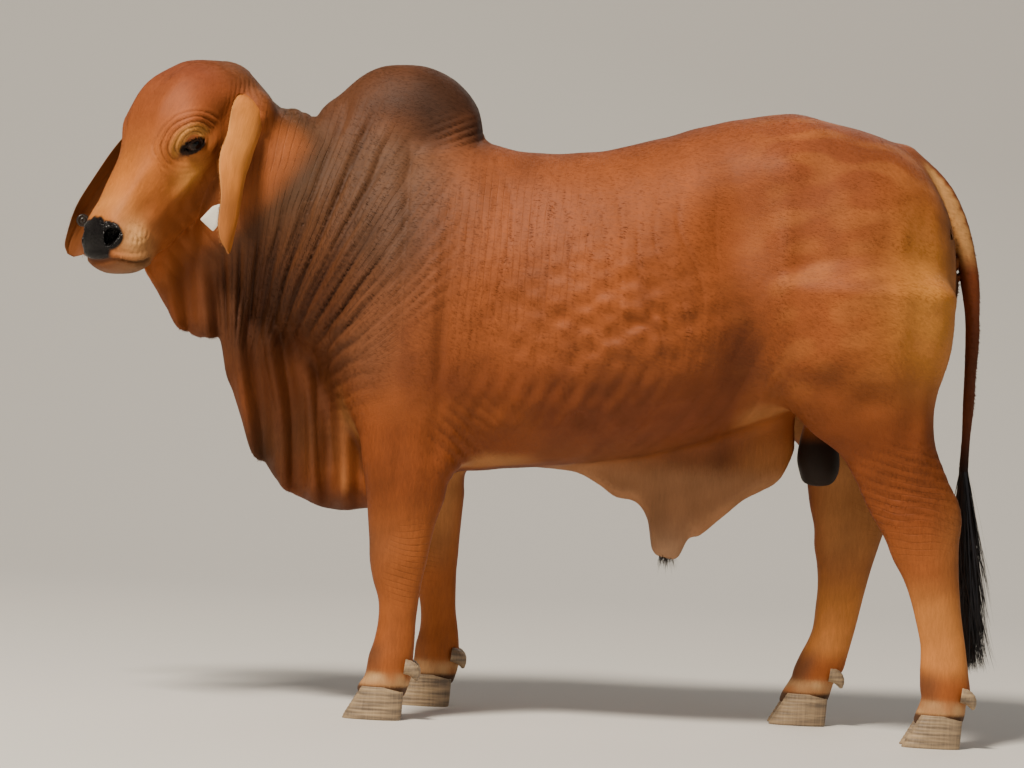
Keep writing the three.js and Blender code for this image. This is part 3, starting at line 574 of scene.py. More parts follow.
def body_field(p):
    """The whole bull's field without folds: each limb is worked out only near its own box."""
    x, y, z = p.T
    d = sectioned(TRUNK, x, y, z)
    limbs = [
        (((-0.50, -0.13, 1.20), (-0.09, 0.13, 1.54)), 0.030, hump_field),
        (((-0.76, -0.26, 0.63), (-0.23, 0.25, 1.46)), 0.060, neck_field),
        (((-0.88, -0.24, 0.46), (-0.13, 0.12, 1.17)), 0.045, dewlap_field),
    ]
    for table, side, stance, shift in LEGS:
        fore = table is FORELEG
        ends, middle, top = ((-0.40, 0.05), 0.17, 1.08) if fore else ((0.55, 1.12), 0.19, 1.27)
        low = (ends[0], side * middle - 0.17, table["first"])
        high = (ends[1], side * middle + 0.17, top)
        field = partial(limb_field, table=table, side=side, stance=stance, shift=shift)
        limbs.append(((low, high), 0.075 if fore else 0.085, field))
    limbs += [
        (((0.08, -0.06, 0.39), (0.69, 0.06, 0.81)), 0.030, sheath_field),
        (((0.67, -0.07, 0.58), (0.80, 0.07, 0.81)), 0.020, scrotum_field),
        (((0.86, -0.05, 0.57), (1.12, 0.05, 1.41)), tail_width, tail_field),
        (((-1.06, -0.56, 0.98), (-0.60, 0.06, 1.56)), head_width, head_field),
    ]
    for (low, high), width, field in limbs:
        near_by = np.flatnonzero(((p > np.array(low) - LIMB_ROOM) & (p < np.array(high) + LIMB_ROOM)).all(1))
        if near_by.size:
            part = p[near_by]
            d[near_by] = melt(d[near_by], field(part), width(part) if callable(width) else width)
    return d


# How far outside its box a limb still rounds its join with the trunk
LIMB_ROOM = 0.09


def limb_field(p, table, side, stance, shift):
    """Field of one leg, which sinks away inside the trunk above the elbow or the thigh."""
    low, high = (0.96, 1.08) if table is FORELEG else (1.04, 1.18)
    return leg_field(p, table, side, stance, shift) + 0.10 * smooth_step(p[:, 2], low, high)


def hump_field(p):
    """Field of the hump."""
    return sectioned(HUMP, *p.T)


def neck_field(p):
    """Field of the neck."""
    return sectioned(NECK, *p.T)


def sheath_field(p):
    """Field of the pendulous sheath, thick at its root and with a rounded rim."""
    return hanging_field(p, SHEATH, rim=0.25, root=3.6)


def tail_field(p):
    """Field of the tail."""
    return chain_field(p, TAIL_LINE, TAIL_RADII)


def tail_width(p):
    """The tail melts into the rump at its root and hangs free of the thighs below."""
    return 0.004 + 0.036 * smooth_step(p[:, 2], 1.22, 1.37)


def head_width(p):
    """The head melts widely into the neck, and hardly at all near its own fine forms."""
    return 0.002 + 0.055 * smooth_step(head_local(p)[:, 0], 0.17, 0.06)


def dewlap_field(p):
    """The pleated dewlap, from the throat to between the forelegs."""
    return hanging_field(p, DEWLAP, rim=0.25, swing=0.015, pitch=0.074)


def scrotum_field(p):
    """The scrotum: rounded sections across z with a shallow seam between its halves."""
    x, y, z = p.T
    front, back = SCROTUM["front"](z), SCROTUM["back"](z)
    d = oval(x - (front + back) / 2, y, (back - front) / 2, SCROTUM["half"](z), 2.2)
    seam = 0.006 * np.exp(-((y / 0.012) ** 2)) * smooth_step(z, 0.72, 0.62)
    return beyond(d, z, SCROTUM["first"], SCROTUM["last"]) + seam


MUSCLES = (
    ((-0.215, 0.27, 1.06), (0.12, 0.16, 0.19), 0.014),
    ((-0.330, 0.235, 0.83), (0.08, 0.12, 0.09), 0.014),
    ((-0.070, 0.27, 0.80), (0.06, 0.15, 0.17), -0.014),
    ((0.220, 0.32, 0.93), (0.19, 0.16, 0.19), 0.008),
    ((0.500, 0.29, 1.16), (0.075, 0.16, 0.12), -0.034),
    ((0.520, 0.29, 0.85), (0.080, 0.16, 0.13), -0.018),
    ((0.600, 0.23, 1.335), (0.07, 0.09, 0.06), 0.018),
    ((0.610, 0.28, 1.06), (0.030, 0.16, 0.16), 0.010),
    ((0.720, 0.27, 0.83), (0.050, 0.12, 0.040), -0.012),
    ((0.820, 0.27, 0.80), (0.050, 0.12, 0.035), -0.010),
    ((0.760, 0.27, 0.90), (0.060, 0.12, 0.050), 0.008),
    ((-0.165, 0.26, 0.90), (0.020, 0.14, 0.17), -0.013),
    ((-0.320, 0.24, 0.60), (0.040, 0.12, 0.10), 0.006),
    ((-0.400, 0.22, 0.80), (0.030, 0.12, 0.05), -0.014),
    ((-0.255, 0.24, 0.585), (0.012, 0.10, 0.10), -0.005),
    ((0.930, 0.24, 1.12), (0.040, 0.12, 0.13), -0.006),
    ((0.890, 0.25, 0.98), (0.030, 0.12, 0.14), 0.006),
    ((0.955, 0.22, 0.72), (0.020, 0.10, 0.07), 0.006),
    ((0.830, 0.27, 1.04), (0.13, 0.16, 0.16), 0.014),
    ((0.985, 0.11, 1.245), (0.06, 0.07, 0.07), 0.013),
    ((1.010, 0.040, 1.070), (0.05, 0.08, 0.07), 0.012),
    ((0.705, 0.30, 0.88), (0.05, 0.12, 0.09), 0.008),
    ((0.600, 0.30, 0.80), (0.035, 0.12, 0.10), 0.008),
    ((0.925, 0.28, 0.84), (0.035, 0.10, 0.15), -0.005),
    ((-0.135, 0.27, 1.00), (0.030, 0.14, 0.16), -0.007),
    ((-0.250, 0.25, 0.70), (0.050, 0.12, 0.08), 0.008),
    ((-0.175, 0.25, 0.62), (0.022, 0.10, 0.08), -0.006),
    ((0.760, 0.24, 1.36), (0.09, 0.08, 0.06), -0.006),
    ((1.035, 0.21, 0.66), (0.016, 0.06, 0.06), -0.006),
)


def crest(phase, sharp=0.8):
    """A row of rounded ridges with narrow valleys: |sin(pi phase)|^sharp, less its mean."""
    return np.abs(np.sin(math.pi * phase)) ** sharp - 0.6


def fold_lines(p):
    """Where the large folds run: the neck's and the shoulder's fan out from the brisket, the barrel's stand
    upright. Returns the large and the small wandering, the fan's angle, the barrel's count and the shares of
    the neck, the shoulder and the ribs."""
    x, z = p[:, 0], p[:, 2]
    drift = waver(both(p), 0.35, 1) * 0.016
    small = waver(p, 0.16, 2)
    fan = np.arctan2(x + 0.65, z - 0.60) + 0.35 * drift
    neck = smooth_step(x, -0.73, -0.67) * smooth_step(x, -0.26, -0.40) * smooth_step(z, 0.80, 0.96)
    neck = neck * smooth_step(z, 1.47, 1.42)
    neck = neck * (1 - 0.6 * smooth_step(z, 1.34, 1.42) * smooth_step(x, -0.52, -0.44))
    q = head_local(p)
    neck = neck * (1 - 0.9 * smooth_step(q[:, 0], -0.09, -0.02) * smooth_step(q[:, 2], -0.36, -0.28))
    shoulder = smooth_step(x, -0.48, -0.38) * smooth_step(x, -0.10, -0.26) * smooth_step(z, 0.90, 1.02)
    shoulder = shoulder * smooth_step(z, 1.38, 1.28) * (0.55 + 0.45 * small)
    ribs = smooth_step(x, -0.18, -0.04) * smooth_step(x, 0.52, 0.36) * smooth_step(z, 0.78, 0.95)
    ribs = ribs * smooth_step(z, 1.34, 1.18) * (0.6 + 0.4 * small)
    lines = (x + 0.05 * (z - 1) + 2.6 * drift + 0.004 * small) / 0.051
    return drift, small, fan, lines, neck, shoulder, ribs


def valley(phase, width):
    """1 on each whole number of a running count, falling to 0 between: exp(-(sin(pi phase) / width)^2)."""
    return np.exp(-((np.sin(math.pi * phase) / width) ** 2))


NECK_STEP, NECK_FINE, SHOULDER_STEP = 0.088, 0.0385, 0.047


def folds(p):
    """How far muscles and skin folds lift the skin at design points, in metres."""
    m = both(p)
    x, z = p[:, 0], p[:, 2]
    lift = np.zeros(len(p))
    for centre, reach, height in MUSCLES:
        lift += height * near(m, centre, reach)
    drift, small, fan, lines, neck, shoulder, ribs = fold_lines(p)
    lift += neck * (0.0105 * crest(fan / NECK_STEP) + 0.0042 * crest((fan + 0.012 * small) / NECK_FINE))
    low_neck = smooth_step(z, 1.0, 0.9) * smooth_step(z, 0.46, 0.56) * smooth_step(x, -0.36, -0.44)
    lift += low_neck * 0.0050 * crest((x + 0.12 * z + drift) / 0.037)
    lift += shoulder * 0.0050 * crest((fan + 0.02 * small) / SHOULDER_STEP)
    point = near(m, (-0.405, 0.20, 0.86), (0.070, 0.14, 0.14))
    turn = np.arctan2(z - 0.66, x + 0.62)
    lift += point * 0.0075 * crest(turn / 0.115 + 0.3 * small)
    rear = near(m, (-0.15, 0.08, 1.375), (0.055, 0.10, 0.032))
    lift += rear * 0.0045 * crest((z - 0.45 * (x + 0.13)) / 0.019)
    lift -= ribs * 0.0030 * valley(lines, 0.22)
    ripple = near(m, (0.22, 0.30, 0.95), (0.23, 0.18, 0.14))
    lift += ripple * 0.0056 * waver(p * (0.55, 1, 1.5), 0.055, 7)
    lift += ripple * 0.0026 * waver(p * (1.2, 1, 0.5), 0.04, 8)
    lumps = near(m, (0.16, 0.28, 0.76), (0.26, 0.18, 0.09))
    lift += lumps * 0.0060 * waver(p, 0.052, 17)
    girth = near(m, (-0.10, 0.27, 1.08), (0.085, 0.16, 0.20)) * (0.6 + 0.4 * small)
    lift += girth * 0.0030 * crest((x - 0.10 * z + 0.9 * drift) / 0.021, 1.0)
    elbow = near(m, (-0.10, 0.24, 0.66), (0.07, 0.12, 0.09))
    lift += elbow * 0.0060 * crest((x * 0.6 + z * 0.8 + 0.5 * drift) / 0.026)
    flank = near(m, (0.56, 0.24, 0.74), (0.06, 0.14, 0.14))
    lift += flank * 0.0055 * crest((x * 0.85 - z * 0.5 + drift) / 0.042)
    gaskin = near(m, (0.93, 0.22, 0.60), (0.10, 0.10, 0.09))
    lift += gaskin * 0.0034 * crest((z + 0.25 * x + 0.4 * drift) / 0.023)
    rump = near(m, (0.86, 0.22, 1.16), (0.12, 0.18, 0.16))
    lift += rump * 0.0012 * waver(p, 0.07, 9)
    lift += 0.0016 * waver(p, 0.12, 12)
    q = head_local(p)
    root = np.stack([q[:, 0], np.abs(q[:, 1]), q[:, 2]], 1)
    wrinkled = near(root, (0.02, 0.085, -0.105), (0.05, 0.05, 0.035))
    lift += wrinkled * 0.0028 * crest((root[:, 2] + 0.4 * root[:, 0] + 0.1 * drift) / 0.013)
    throat = near(root, (0.30, 0.05, -0.245), (0.16, 0.08, 0.06))
    muzzle = near(root, (0.452, 0.075, -0.095), (0.030, 0.03, 0.035))
    lift += muzzle * 0.0013 * waver(q, 0.012, 19)
    cheek = near(root, (0.26, 0.08, -0.13), (0.10, 0.06, 0.07))
    lift += cheek * 0.0020 * waver(q, 0.05, 23)
    lift += throat * 0.0035 * crest((root[:, 0] - 0.6 * root[:, 1] + 0.5 * drift) / 0.034)
    return lift


def skin_field(p):
    """The bull's field with its folds lifted and set in by the coat's depth."""
    return body_field(p) - folds(p) + COAT_DEPTH


COAT_DEPTH = 0.002


# Colour by place, in sRGB as the eye reads it


def linear(code):
    """Linear red, green and blue of an sRGB hex colour."""
    srgb = np.array([int(code[i : i + 2], 16) for i in (1, 3, 5)]) / 255
    return np.where(srgb <= 0.04045, srgb / 12.92, ((srgb + 0.055) / 1.055) ** 2.4)


BODY_TONES = (
    ("#7A4630", (0.30, 0.00, 1.40), (0.75, 0.14, 0.14), 0.75),
    ("#A7673C", (0.25, 0.32, 0.80), (0.45, 0.25, 0.13), 0.75),
    ("#8A5034", (0.68, 0.15, 1.36), (0.22, 0.25, 0.20), 0.70),
    ("#65493A", (-0.32, 0.22, 1.14), (0.16, 0.28, 0.24), 0.95),
    ("#5A4232", (-0.67, 0.12, 1.33), (0.15, 0.28, 0.17), 1.00),
    ("#6A4E3E", (-0.31, 0.18, 1.30), (0.15, 0.25, 0.13), 0.90),
    ("#745444", (-0.36, 0.22, 0.86), (0.10, 0.20, 0.12), 0.60),
    ("#54402F", (-0.57, 0.10, 1.24), (0.22, 0.30, 0.28), 1.00),
    # These five spots darken the low neck and the dewlap: partly their own darker brown, partly painted
    # shade.
    ("#4A3020", (-0.56, 0.10, 0.98), (0.16, 0.25, 0.16), 0.85),
    ("#4B3528", (-0.66, 0.10, 0.88), (0.12, 0.25, 0.16), 0.55),
    ("#5C3820", (-0.47, 0.06, 0.68), (0.14, 0.20, 0.22), 0.85),
    ("#3F2D22", (-0.58, 0.05, 0.60), (0.05, 0.20, 0.12), 0.75),
    ("#43312A", (-0.40, 0.00, 0.46), (0.20, 0.20, 0.05), 0.70),
    ("#D39A50", (0.96, 0.25, 1.00), (0.11, 0.30, 0.22), 0.90),
    ("#A9703A", (0.86, 0.28, 0.78), (0.14, 0.30, 0.16), 0.55),
    ("#B58A5E", (0.59, 0.22, 0.70), (0.07, 0.16, 0.10), 0.60),
    ("#6A4A38", (1.00, 0.05, 1.16), (0.05, 0.09, 0.16), 0.60),
    ("#C29A6B", (0.35, 0.05, 0.62), (0.50, 0.20, 0.07), 0.50),
    ("#95604A", (0.05, 0.25, 1.18), (0.12, 0.25, 0.16), 0.40),
)
FACE_TONES = (
    ("#8C4F36", (0.04, 0.00, 0.02), (0.14, 0.20, 0.12), 0.95),
    ("#A05F39", (0.17, 0.00, 0.04), (0.09, 0.12, 0.06), 0.70),
    ("#C4823F", (0.34, 0.00, -0.02), (0.11, 0.09, 0.06), 0.85),
    ("#CF9B5C", (0.42, 0.00, -0.02), (0.05, 0.07, 0.05), 0.55),
    ("#B9783F", (0.26, 0.09, -0.09), (0.10, 0.05, 0.06), 0.60),
    ("#8F5730", (0.28, 0.08, -0.18), (0.12, 0.06, 0.05), 0.75),
    ("#7A4A2E", (0.14, 0.10, -0.18), (0.10, 0.06, 0.06), 0.65),
    # A pale spot on the cheekbone below the eye: a painted highlight.
    ("#D6A25E", (0.258, 0.108, -0.100), (0.042, 0.05, 0.030), 0.75),
    ("#D9B282", (0.455, 0.075, -0.085), (0.045, 0.04, 0.045), 0.90),
    ("#C9A67E", (0.48, 0.05, -0.14), (0.05, 0.06, 0.03), 0.80),
    ("#9C7A62", (0.50, 0.02, -0.145), (0.04, 0.05, 0.025), 0.70),
)


# The coat's colours in the photo are deeper and warmer than its hues read side by side
WARMTH = np.array([0.84, 0.66, 0.47])


def paint(rgb, code, amount):
    """Colours moved towards one sRGB colour by an amount per point."""
    rgb += np.clip(amount, 0, 1)[:, None] * (linear(code) - rgb)


def face_share(q):
    """1 on the face and 0 on the neck, in face coordinates."""
    return smooth_step(q[:, 0], -0.05, 0.04) * smooth_step(q[:, 2], -0.30, -0.235)


def markings(p):
    """Linear colour of the coat and bare skin at design points, painted shade in creases, hollows and low
    parts included, and how bare and how wet the place is.
    """
    m = both(p)
    x, y, z = p.T
    rgb = np.tile(linear("#98592F"), (len(p), 1))
    for code, centre, reach, amount in BODY_TONES:
        paint(rgb, code, amount * near(m, centre, reach) * 1.15)
    # Painted shade: the low barrel is painted darker, as if shaded from a light above.
    under = smooth_step(z, 0.98, 0.74) * smooth_step(x, -0.30, -0.16) * smooth_step(x, 0.62, 0.50)
    paint(rgb, "#6E3A1C", 0.75 * under)
    # Painted shade on the low thigh and the gaskin.
    paint(rgb, "#6E3A1C", 0.50 * near(m, (0.80, 0.27, 0.80), (0.22, 0.2, 0.09)))
    # Painted shadow in the hollow of the flank in front of the thigh.
    paint(rgb, "#4A2410", 0.60 * near(m, (0.52, 0.27, 0.90), (0.07, 0.2, 0.13)))
    mottle = smooth_step(waver(p * (0.8, 1, 1.6), 0.10, 71), -0.2, 0.8) * smooth_step(x, 0.42, 0.66)
    paint(rgb, "#C98A50", 0.28 * mottle * smooth_step(z, 0.72, 0.86))
    graze = smooth_step(waver(p * (1, 1, 0.6), 0.07, 72), 0.1, 0.9) * smooth_step(x, 0.50, 0.30)
    paint(rgb, "#5E3018", 0.22 * graze * smooth_step(z, 1.15, 0.90))
    small, fan, lines, neck, shoulder, ribs = fold_lines(p)[1:]
    # Painted shade in the valleys of the neck's and the shoulder's folds.
    fine = 0.6 * valley((fan + 0.012 * small) / NECK_FINE, 0.30)
    seam = neck * np.maximum(valley(fan / NECK_STEP, 0.30), fine)
    seam = np.maximum(seam, 0.6 * shoulder * valley((fan + 0.02 * small) / SHOULDER_STEP, 0.25))
    paint(rgb, "#241410", 0.50 * seam)
    # Painted shade in the valleys of the barrel's upright creases.
    paint(rgb, "#6A3A1E", 0.30 * ribs * valley(lines, 0.22))
    patch = waver(p, 0.16, 21)
    hump = smooth_step(z + 0.03 * patch, 1.33, 1.44)
    hump = hump * smooth_step(x, -0.08, -0.12) * smooth_step(x, -0.56, -0.48)
    hump = np.maximum(hump, near(m, (-0.13, 0.05, 1.39), (0.06, 0.09, 0.06)))
    paint(rgb, "#5C3F2E", 0.85 * hump)
    paint(rgb, "#35241B", 0.80 * hump * smooth_step(x - 0.9 * (z - 1.40), -0.50, -0.24))
    fore_x = x - np.where(y > 0, FORE_RIGHT(z), 0)
    hind_x = x - np.where(y > 0, HIND_RIGHT(z), 0)
    fore = smooth_step(x, 0.10, 0.0) * smooth_step(z, 0.80, 0.66) * smooth_step(np.abs(y), 0.08, 0.115)
    fore = fore * smooth_step(fore_x, -0.42, -0.39)
    hind = smooth_step(x, 0.50, 0.58) * smooth_step(z, 0.86, 0.70) * smooth_step(np.abs(y), 0.07, 0.10)
    leg = np.maximum(fore, hind)
    paint(rgb, "#A56637", leg)
    # Painted shade: the upper legs, forearm and gaskin, painted darker than the lower legs.
    paint(rgb, "#7C4320", 0.75 * leg * smooth_step(z, 0.40, 0.56))
    paint(rgb, "#DCA060", 0.75 * hind * smooth_step(z, 0.42, 0.30) * smooth_step(z, 0.14, 0.20))
    inner = smooth_step(np.abs(y), 0.19, 0.14)
    paint(rgb, "#C9A070", leg * inner * 0.55 * smooth_step(z, 0.30, 0.45))
    knee = near(np.stack([fore_x, np.abs(y), z], 1), (-0.31, 0.2, 0.40), (0.05, 0.2, 0.06)) * fore
    paint(rgb, "#77533D", 0.6 * knee)
    back_edge = near(np.stack([hind_x, np.abs(y), z], 1), (1.06, 0.2, 0.47), (0.05, 0.2, 0.13)) * hind
    paint(rgb, "#B48354", 0.5 * back_edge)
    front = np.where(x < 0.3, smooth_step(fore_x, -0.255, -0.285), smooth_step(hind_x, 1.045, 1.005))
    low = smooth_step(z, 0.20, 0.15) * smooth_step(z, 0.085, 0.11)
    paint(rgb, "#5C463A", 0.75 * low * front * (0.75 + 0.5 * patch))
    cream = smooth_step(z, 0.118, 0.100) * smooth_step(z, 0.074, 0.082)
    paint(rgb, "#CDB491", 0.75 * cream * (0.8 + 0.5 * waver(p, 0.05, 22)))
    coronet = smooth_step(z, 0.083, 0.074)
    paint(rgb, "#4A4038", 0.9 * coronet)
    bare = 0.9 * coronet
    wet = np.zeros(len(p))
    sheath = smooth_step(z, 0.64, 0.58) * smooth_step(np.abs(y), 0.085, 0.06)
    sheath = sheath * smooth_step(x, 0.06, 0.12) * smooth_step(x, 0.69, 0.66)
    paint(rgb, "#B08C70", 0.85 * sheath)
    tip = near(p, (0.385, 0, 0.415), (0.075, 0.1, 0.055))
    paint(rgb, "#B59C8C", 0.8 * tip)
    sack = smooth_step(np.hypot((x - 0.738) / 0.062, y / 0.085), 1.12, 0.92) * smooth_step(z, 0.73, 0.68)
    sack = sack * smooth_step(z, 0.56, 0.57)
    paint(rgb, "#231B18", sack)
    bare = np.maximum(bare, np.maximum(0.8 * sack, 0.35 * sheath))
    far = np.min([np.hypot(x - c[0], z - c[2]) for c in TAIL_LINE], axis=0)
    # Painted shade in the gap between the tail and the buttocks.
    tail_gap_shade = np.exp(-(((far - 0.040) / 0.010) ** 2))
    tail_gap_shade = tail_gap_shade * smooth_step(np.abs(y), 0.10, 0.06) * smooth_step(x, 0.93, 0.98)
    paint(rgb, "#2A170E", 0.85 * tail_gap_shade * smooth_step(z, 1.35, 1.31) * smooth_step(z, 0.98, 1.06))
    tail = smooth_step(far, 0.036, 0.030) * smooth_step(np.abs(y), 0.050, 0.040) * smooth_step(z, 1.40, 1.34)
    tail = tail * smooth_step(x, 0.93, 0.96)
    paint(rgb, "#7F4527", tail)
    pale = tail * smooth_step(far, 0.030, 0.018) * smooth_step(np.abs(y), 0.004, 0.014)
    paint(rgb, "#E0B880", 0.80 * pale * smooth_step(z, 1.10, 1.18))
    paint(rgb, "#5A3420", 0.6 * tail * smooth_step(z, 1.06, 0.90))
    paint(rgb, "#20140F", tail * smooth_step(z, 0.78, 0.62))
    q = head_local(p)
    face = face_share(q)
    mq = np.stack([q[:, 0], np.abs(q[:, 1]), q[:, 2]], 1)
    tone = np.tile(linear("#A8683B"), (len(p), 1))
    for code, centre, reach, amount in FACE_TONES:
        paint(tone, code, amount * near(mq, centre, reach) * 1.15)
    out, along, over = eye_frame(q)
    ring = brow_ring(q, along, over)
    facing = smooth_step(out, -0.035, 0.0)
    above = 0.10 + 0.90 * smooth_step(over + 0.2 * along, -0.006, 0.010)
    above = above * facing
    paint(tone, "#CFA05F", 0.85 * above * smooth_step(ring, 0.048, 0.032) * smooth_step(ring, 0.012, 0.018))
    # Painted shade in the valleys between the brow's folds.
    between = valley((ring - BROW_START) / BROW_STEP, 0.3)
    paint(tone, "#5A3520", 0.5 * above * between * smooth_step(ring, 0.08, 0.06))
    # A dark patch round the eye: partly the dark skin of the lids, partly painted shade under the brow.
    rims = np.hypot((along - 0.008) / 1.9, over + 0.003)
    paint(tone, "#1C120D", facing * smooth_step(rims, 0.0195, 0.0155))
    tear = near(np.stack([along, over, 0 * along], 1), (0.040, -0.013, 0), (0.016, 0.007, 1))
    paint(tone, "#5B4030", 0.6 * tear * facing)
    nose = nose_share(q)
    paint(tone, "#0F0D0D", nose)
    lips = smooth_step(q[:, 0], 0.44, 0.46) * np.exp(-((mouth_height(q) / 0.0045) ** 2))
    paint(tone, "#3A271E", 0.75 * lips)
    freckle = near(mq, (0.440, 0.080, -0.080), (0.035, 0.03, 0.035))
    freckle = freckle * smooth_step(waver(q, 0.008, 61), 0.55, 0.8)
    paint(tone, "#6A4530", 0.6 * freckle)
    under_lip = smooth_step(mouth_height(q), -0.002, -0.010) * smooth_step(q[:, 0], 0.44, 0.48)
    paint(tone, "#77604F", 0.65 * under_lip)
    # Painted shade deep in the nostril.
    nostril_shade = near(mq, (0.478, 0.046, -0.046), (0.022, 0.019, 0.012))
    paint(tone, "#080707", 0.9 * nostril_shade)
    rgb += face[:, None] * (tone - rgb)
    bare = np.maximum(bare, face * np.maximum(nose, 0.6 * lips))
    wet = np.maximum(wet, face * nose)
    rgb *= (1 + 0.12 * waver(p, 0.30, 31) + 0.08 * waver(p, 0.07, 32))[:, None] * WARMTH
    return np.clip(rgb, 0.003, 0.9), bare, wet


def mouth_height(q):
    """Height above the mouth line in face coordinates."""
    return (q[:, 2] - np.interp(-q[:, 0], -MOUTH[:, 0], MOUTH[:, 1])) * 0.72


def nose_share(q):
    """1 on the bare nose pad, down to the upper lip, and 0 off it."""
    s, l, h = q[:, 0], np.abs(q[:, 1]), q[:, 2]
    top = np.hypot(np.maximum(0, 0.500 - s) / 0.050, l / 0.062)
    wing = np.sqrt(((s - 0.478) / 0.033) ** 2 + ((l - 0.046) / 0.027) ** 2 + ((h + 0.050) / 0.030) ** 2)
    top = melt(top, wing, 0.6)
    edge = top + 0.05 * waver(q, 0.03, 5)
    down = smooth_step(l - 0.55 * (h + 0.060), 0.060, 0.046) * smooth_step(mouth_height(q), 0.0, 0.004)
    down = np.maximum(down, smooth_step(wing, 1.1, 0.95))
    return smooth_step(edge, 1.04, 0.95) * down * smooth_step(s, 0.436, 0.448)


def hair_lie(p):
    """Coordinates in metres, the first along the hair: back along the trunk, down legs and dewlap."""
    x, y, z = p.T
    down = smooth_step(z, 0.86, 0.68)
    down = np.maximum(down, smooth_step(x, -0.42, -0.52) * smooth_step(z, 1.05, 0.90))
    trunk = np.stack([x - 0.25 * z, y, z + 0.25 * x], 1)
    leg = np.stack([z, x, y], 1)
    mixed = trunk + down[:, None] * (leg - trunk)
    face = face_share(head_local(p))[:, None]
    return mixed + face * (head_local(p) - mixed)


def crease_lines(p):
    """The running count of fine creases across the skin, and their depth from 0 to 1."""
    m = both(p)
    x, z = p[:, 0], p[:, 2]
    drift = waver(p, 0.25, 3) * 0.012
    small = waver(p, 0.09, 6)
    fan = fold_lines(p)[2]
    front = smooth_step(x, -0.22, -0.30)
    count = np.where(x < -0.26, fan / 0.021, (x - 0.05 * z) / 0.0165) + 25 * drift + 0.10 * small
    broken = 0.45 + 0.55 * smooth_step(waver(p, 0.12, 16), -0.5, 0.5)
    depth = 0.9 * near(m, (-0.53, 0.12, 1.20), (0.19, 0.30, 0.28)) * front
    girth = near(m, (-0.02, 0.27, 1.08), (0.17, 0.20, 0.22)) * (1 - front)
    shoulder = near(m, (-0.32, 0.24, 1.10), (0.12, 0.20, 0.24)) * front
    depth = np.maximum(depth, np.maximum(0.65 * girth, 0.8 * shoulder)) * broken
    gaskin = near(m, (0.94, 0.22, 0.56), (0.12, 0.12, 0.12))
    cannon = near(m, (-0.21, 0.2, 0.36), (0.06, 0.2, 0.10))
    legs = np.maximum(gaskin, cannon)
    count = np.where(legs > 0.25, (z + 0.2 * x + drift) / 0.014 + 0.4 * small, count)
    depth = np.where(legs > 0.25, 0.7 * legs * broken, depth)
    q = head_local(p)
    out, along, over = eye_frame(q)
    ring = brow_ring(q, along, over)
    brow = smooth_step(ring, 0.076, 0.050) * smooth_step(out, -0.03, 0.0) * smooth_step(over, -0.012, 0.012)
    count = np.where(brow > 0.05, (ring - BROW_START) / (BROW_STEP / 2), count)
    return count, np.where(brow > 0.05, 0.55 * brow, depth)


# Meshing the field

BLOCK = 6


def slope_of(field, p, step):
    """The field at points and its gradient there, by forward differences of the given step."""
    value = field(p)
    ways = np.eye(3) * step
    return value, np.stack([(field(p + way) - value) / step for way in ways], 1)


def in_lots(field, p, lot=400000):
    """The field of many points, worked out in lots to keep memory small."""
    return np.concatenate([field(p[i : i + lot]) for i in range(0, len(p), lot)])


def grid_line(low, high, fine_low, fine_high, fine, coarse):
    """Grid places from low to high: fine spacing between two places, easing to coarse away from them."""
    places = [low]
    while places[-1] < high or (len(places) - 1) % BLOCK:
        away = max(0, fine_low - places[-1], places[-1] - fine_high)
        places.append(places[-1] + fine + (coarse - fine) * min(1, away / 0.12))
    return np.array(places)


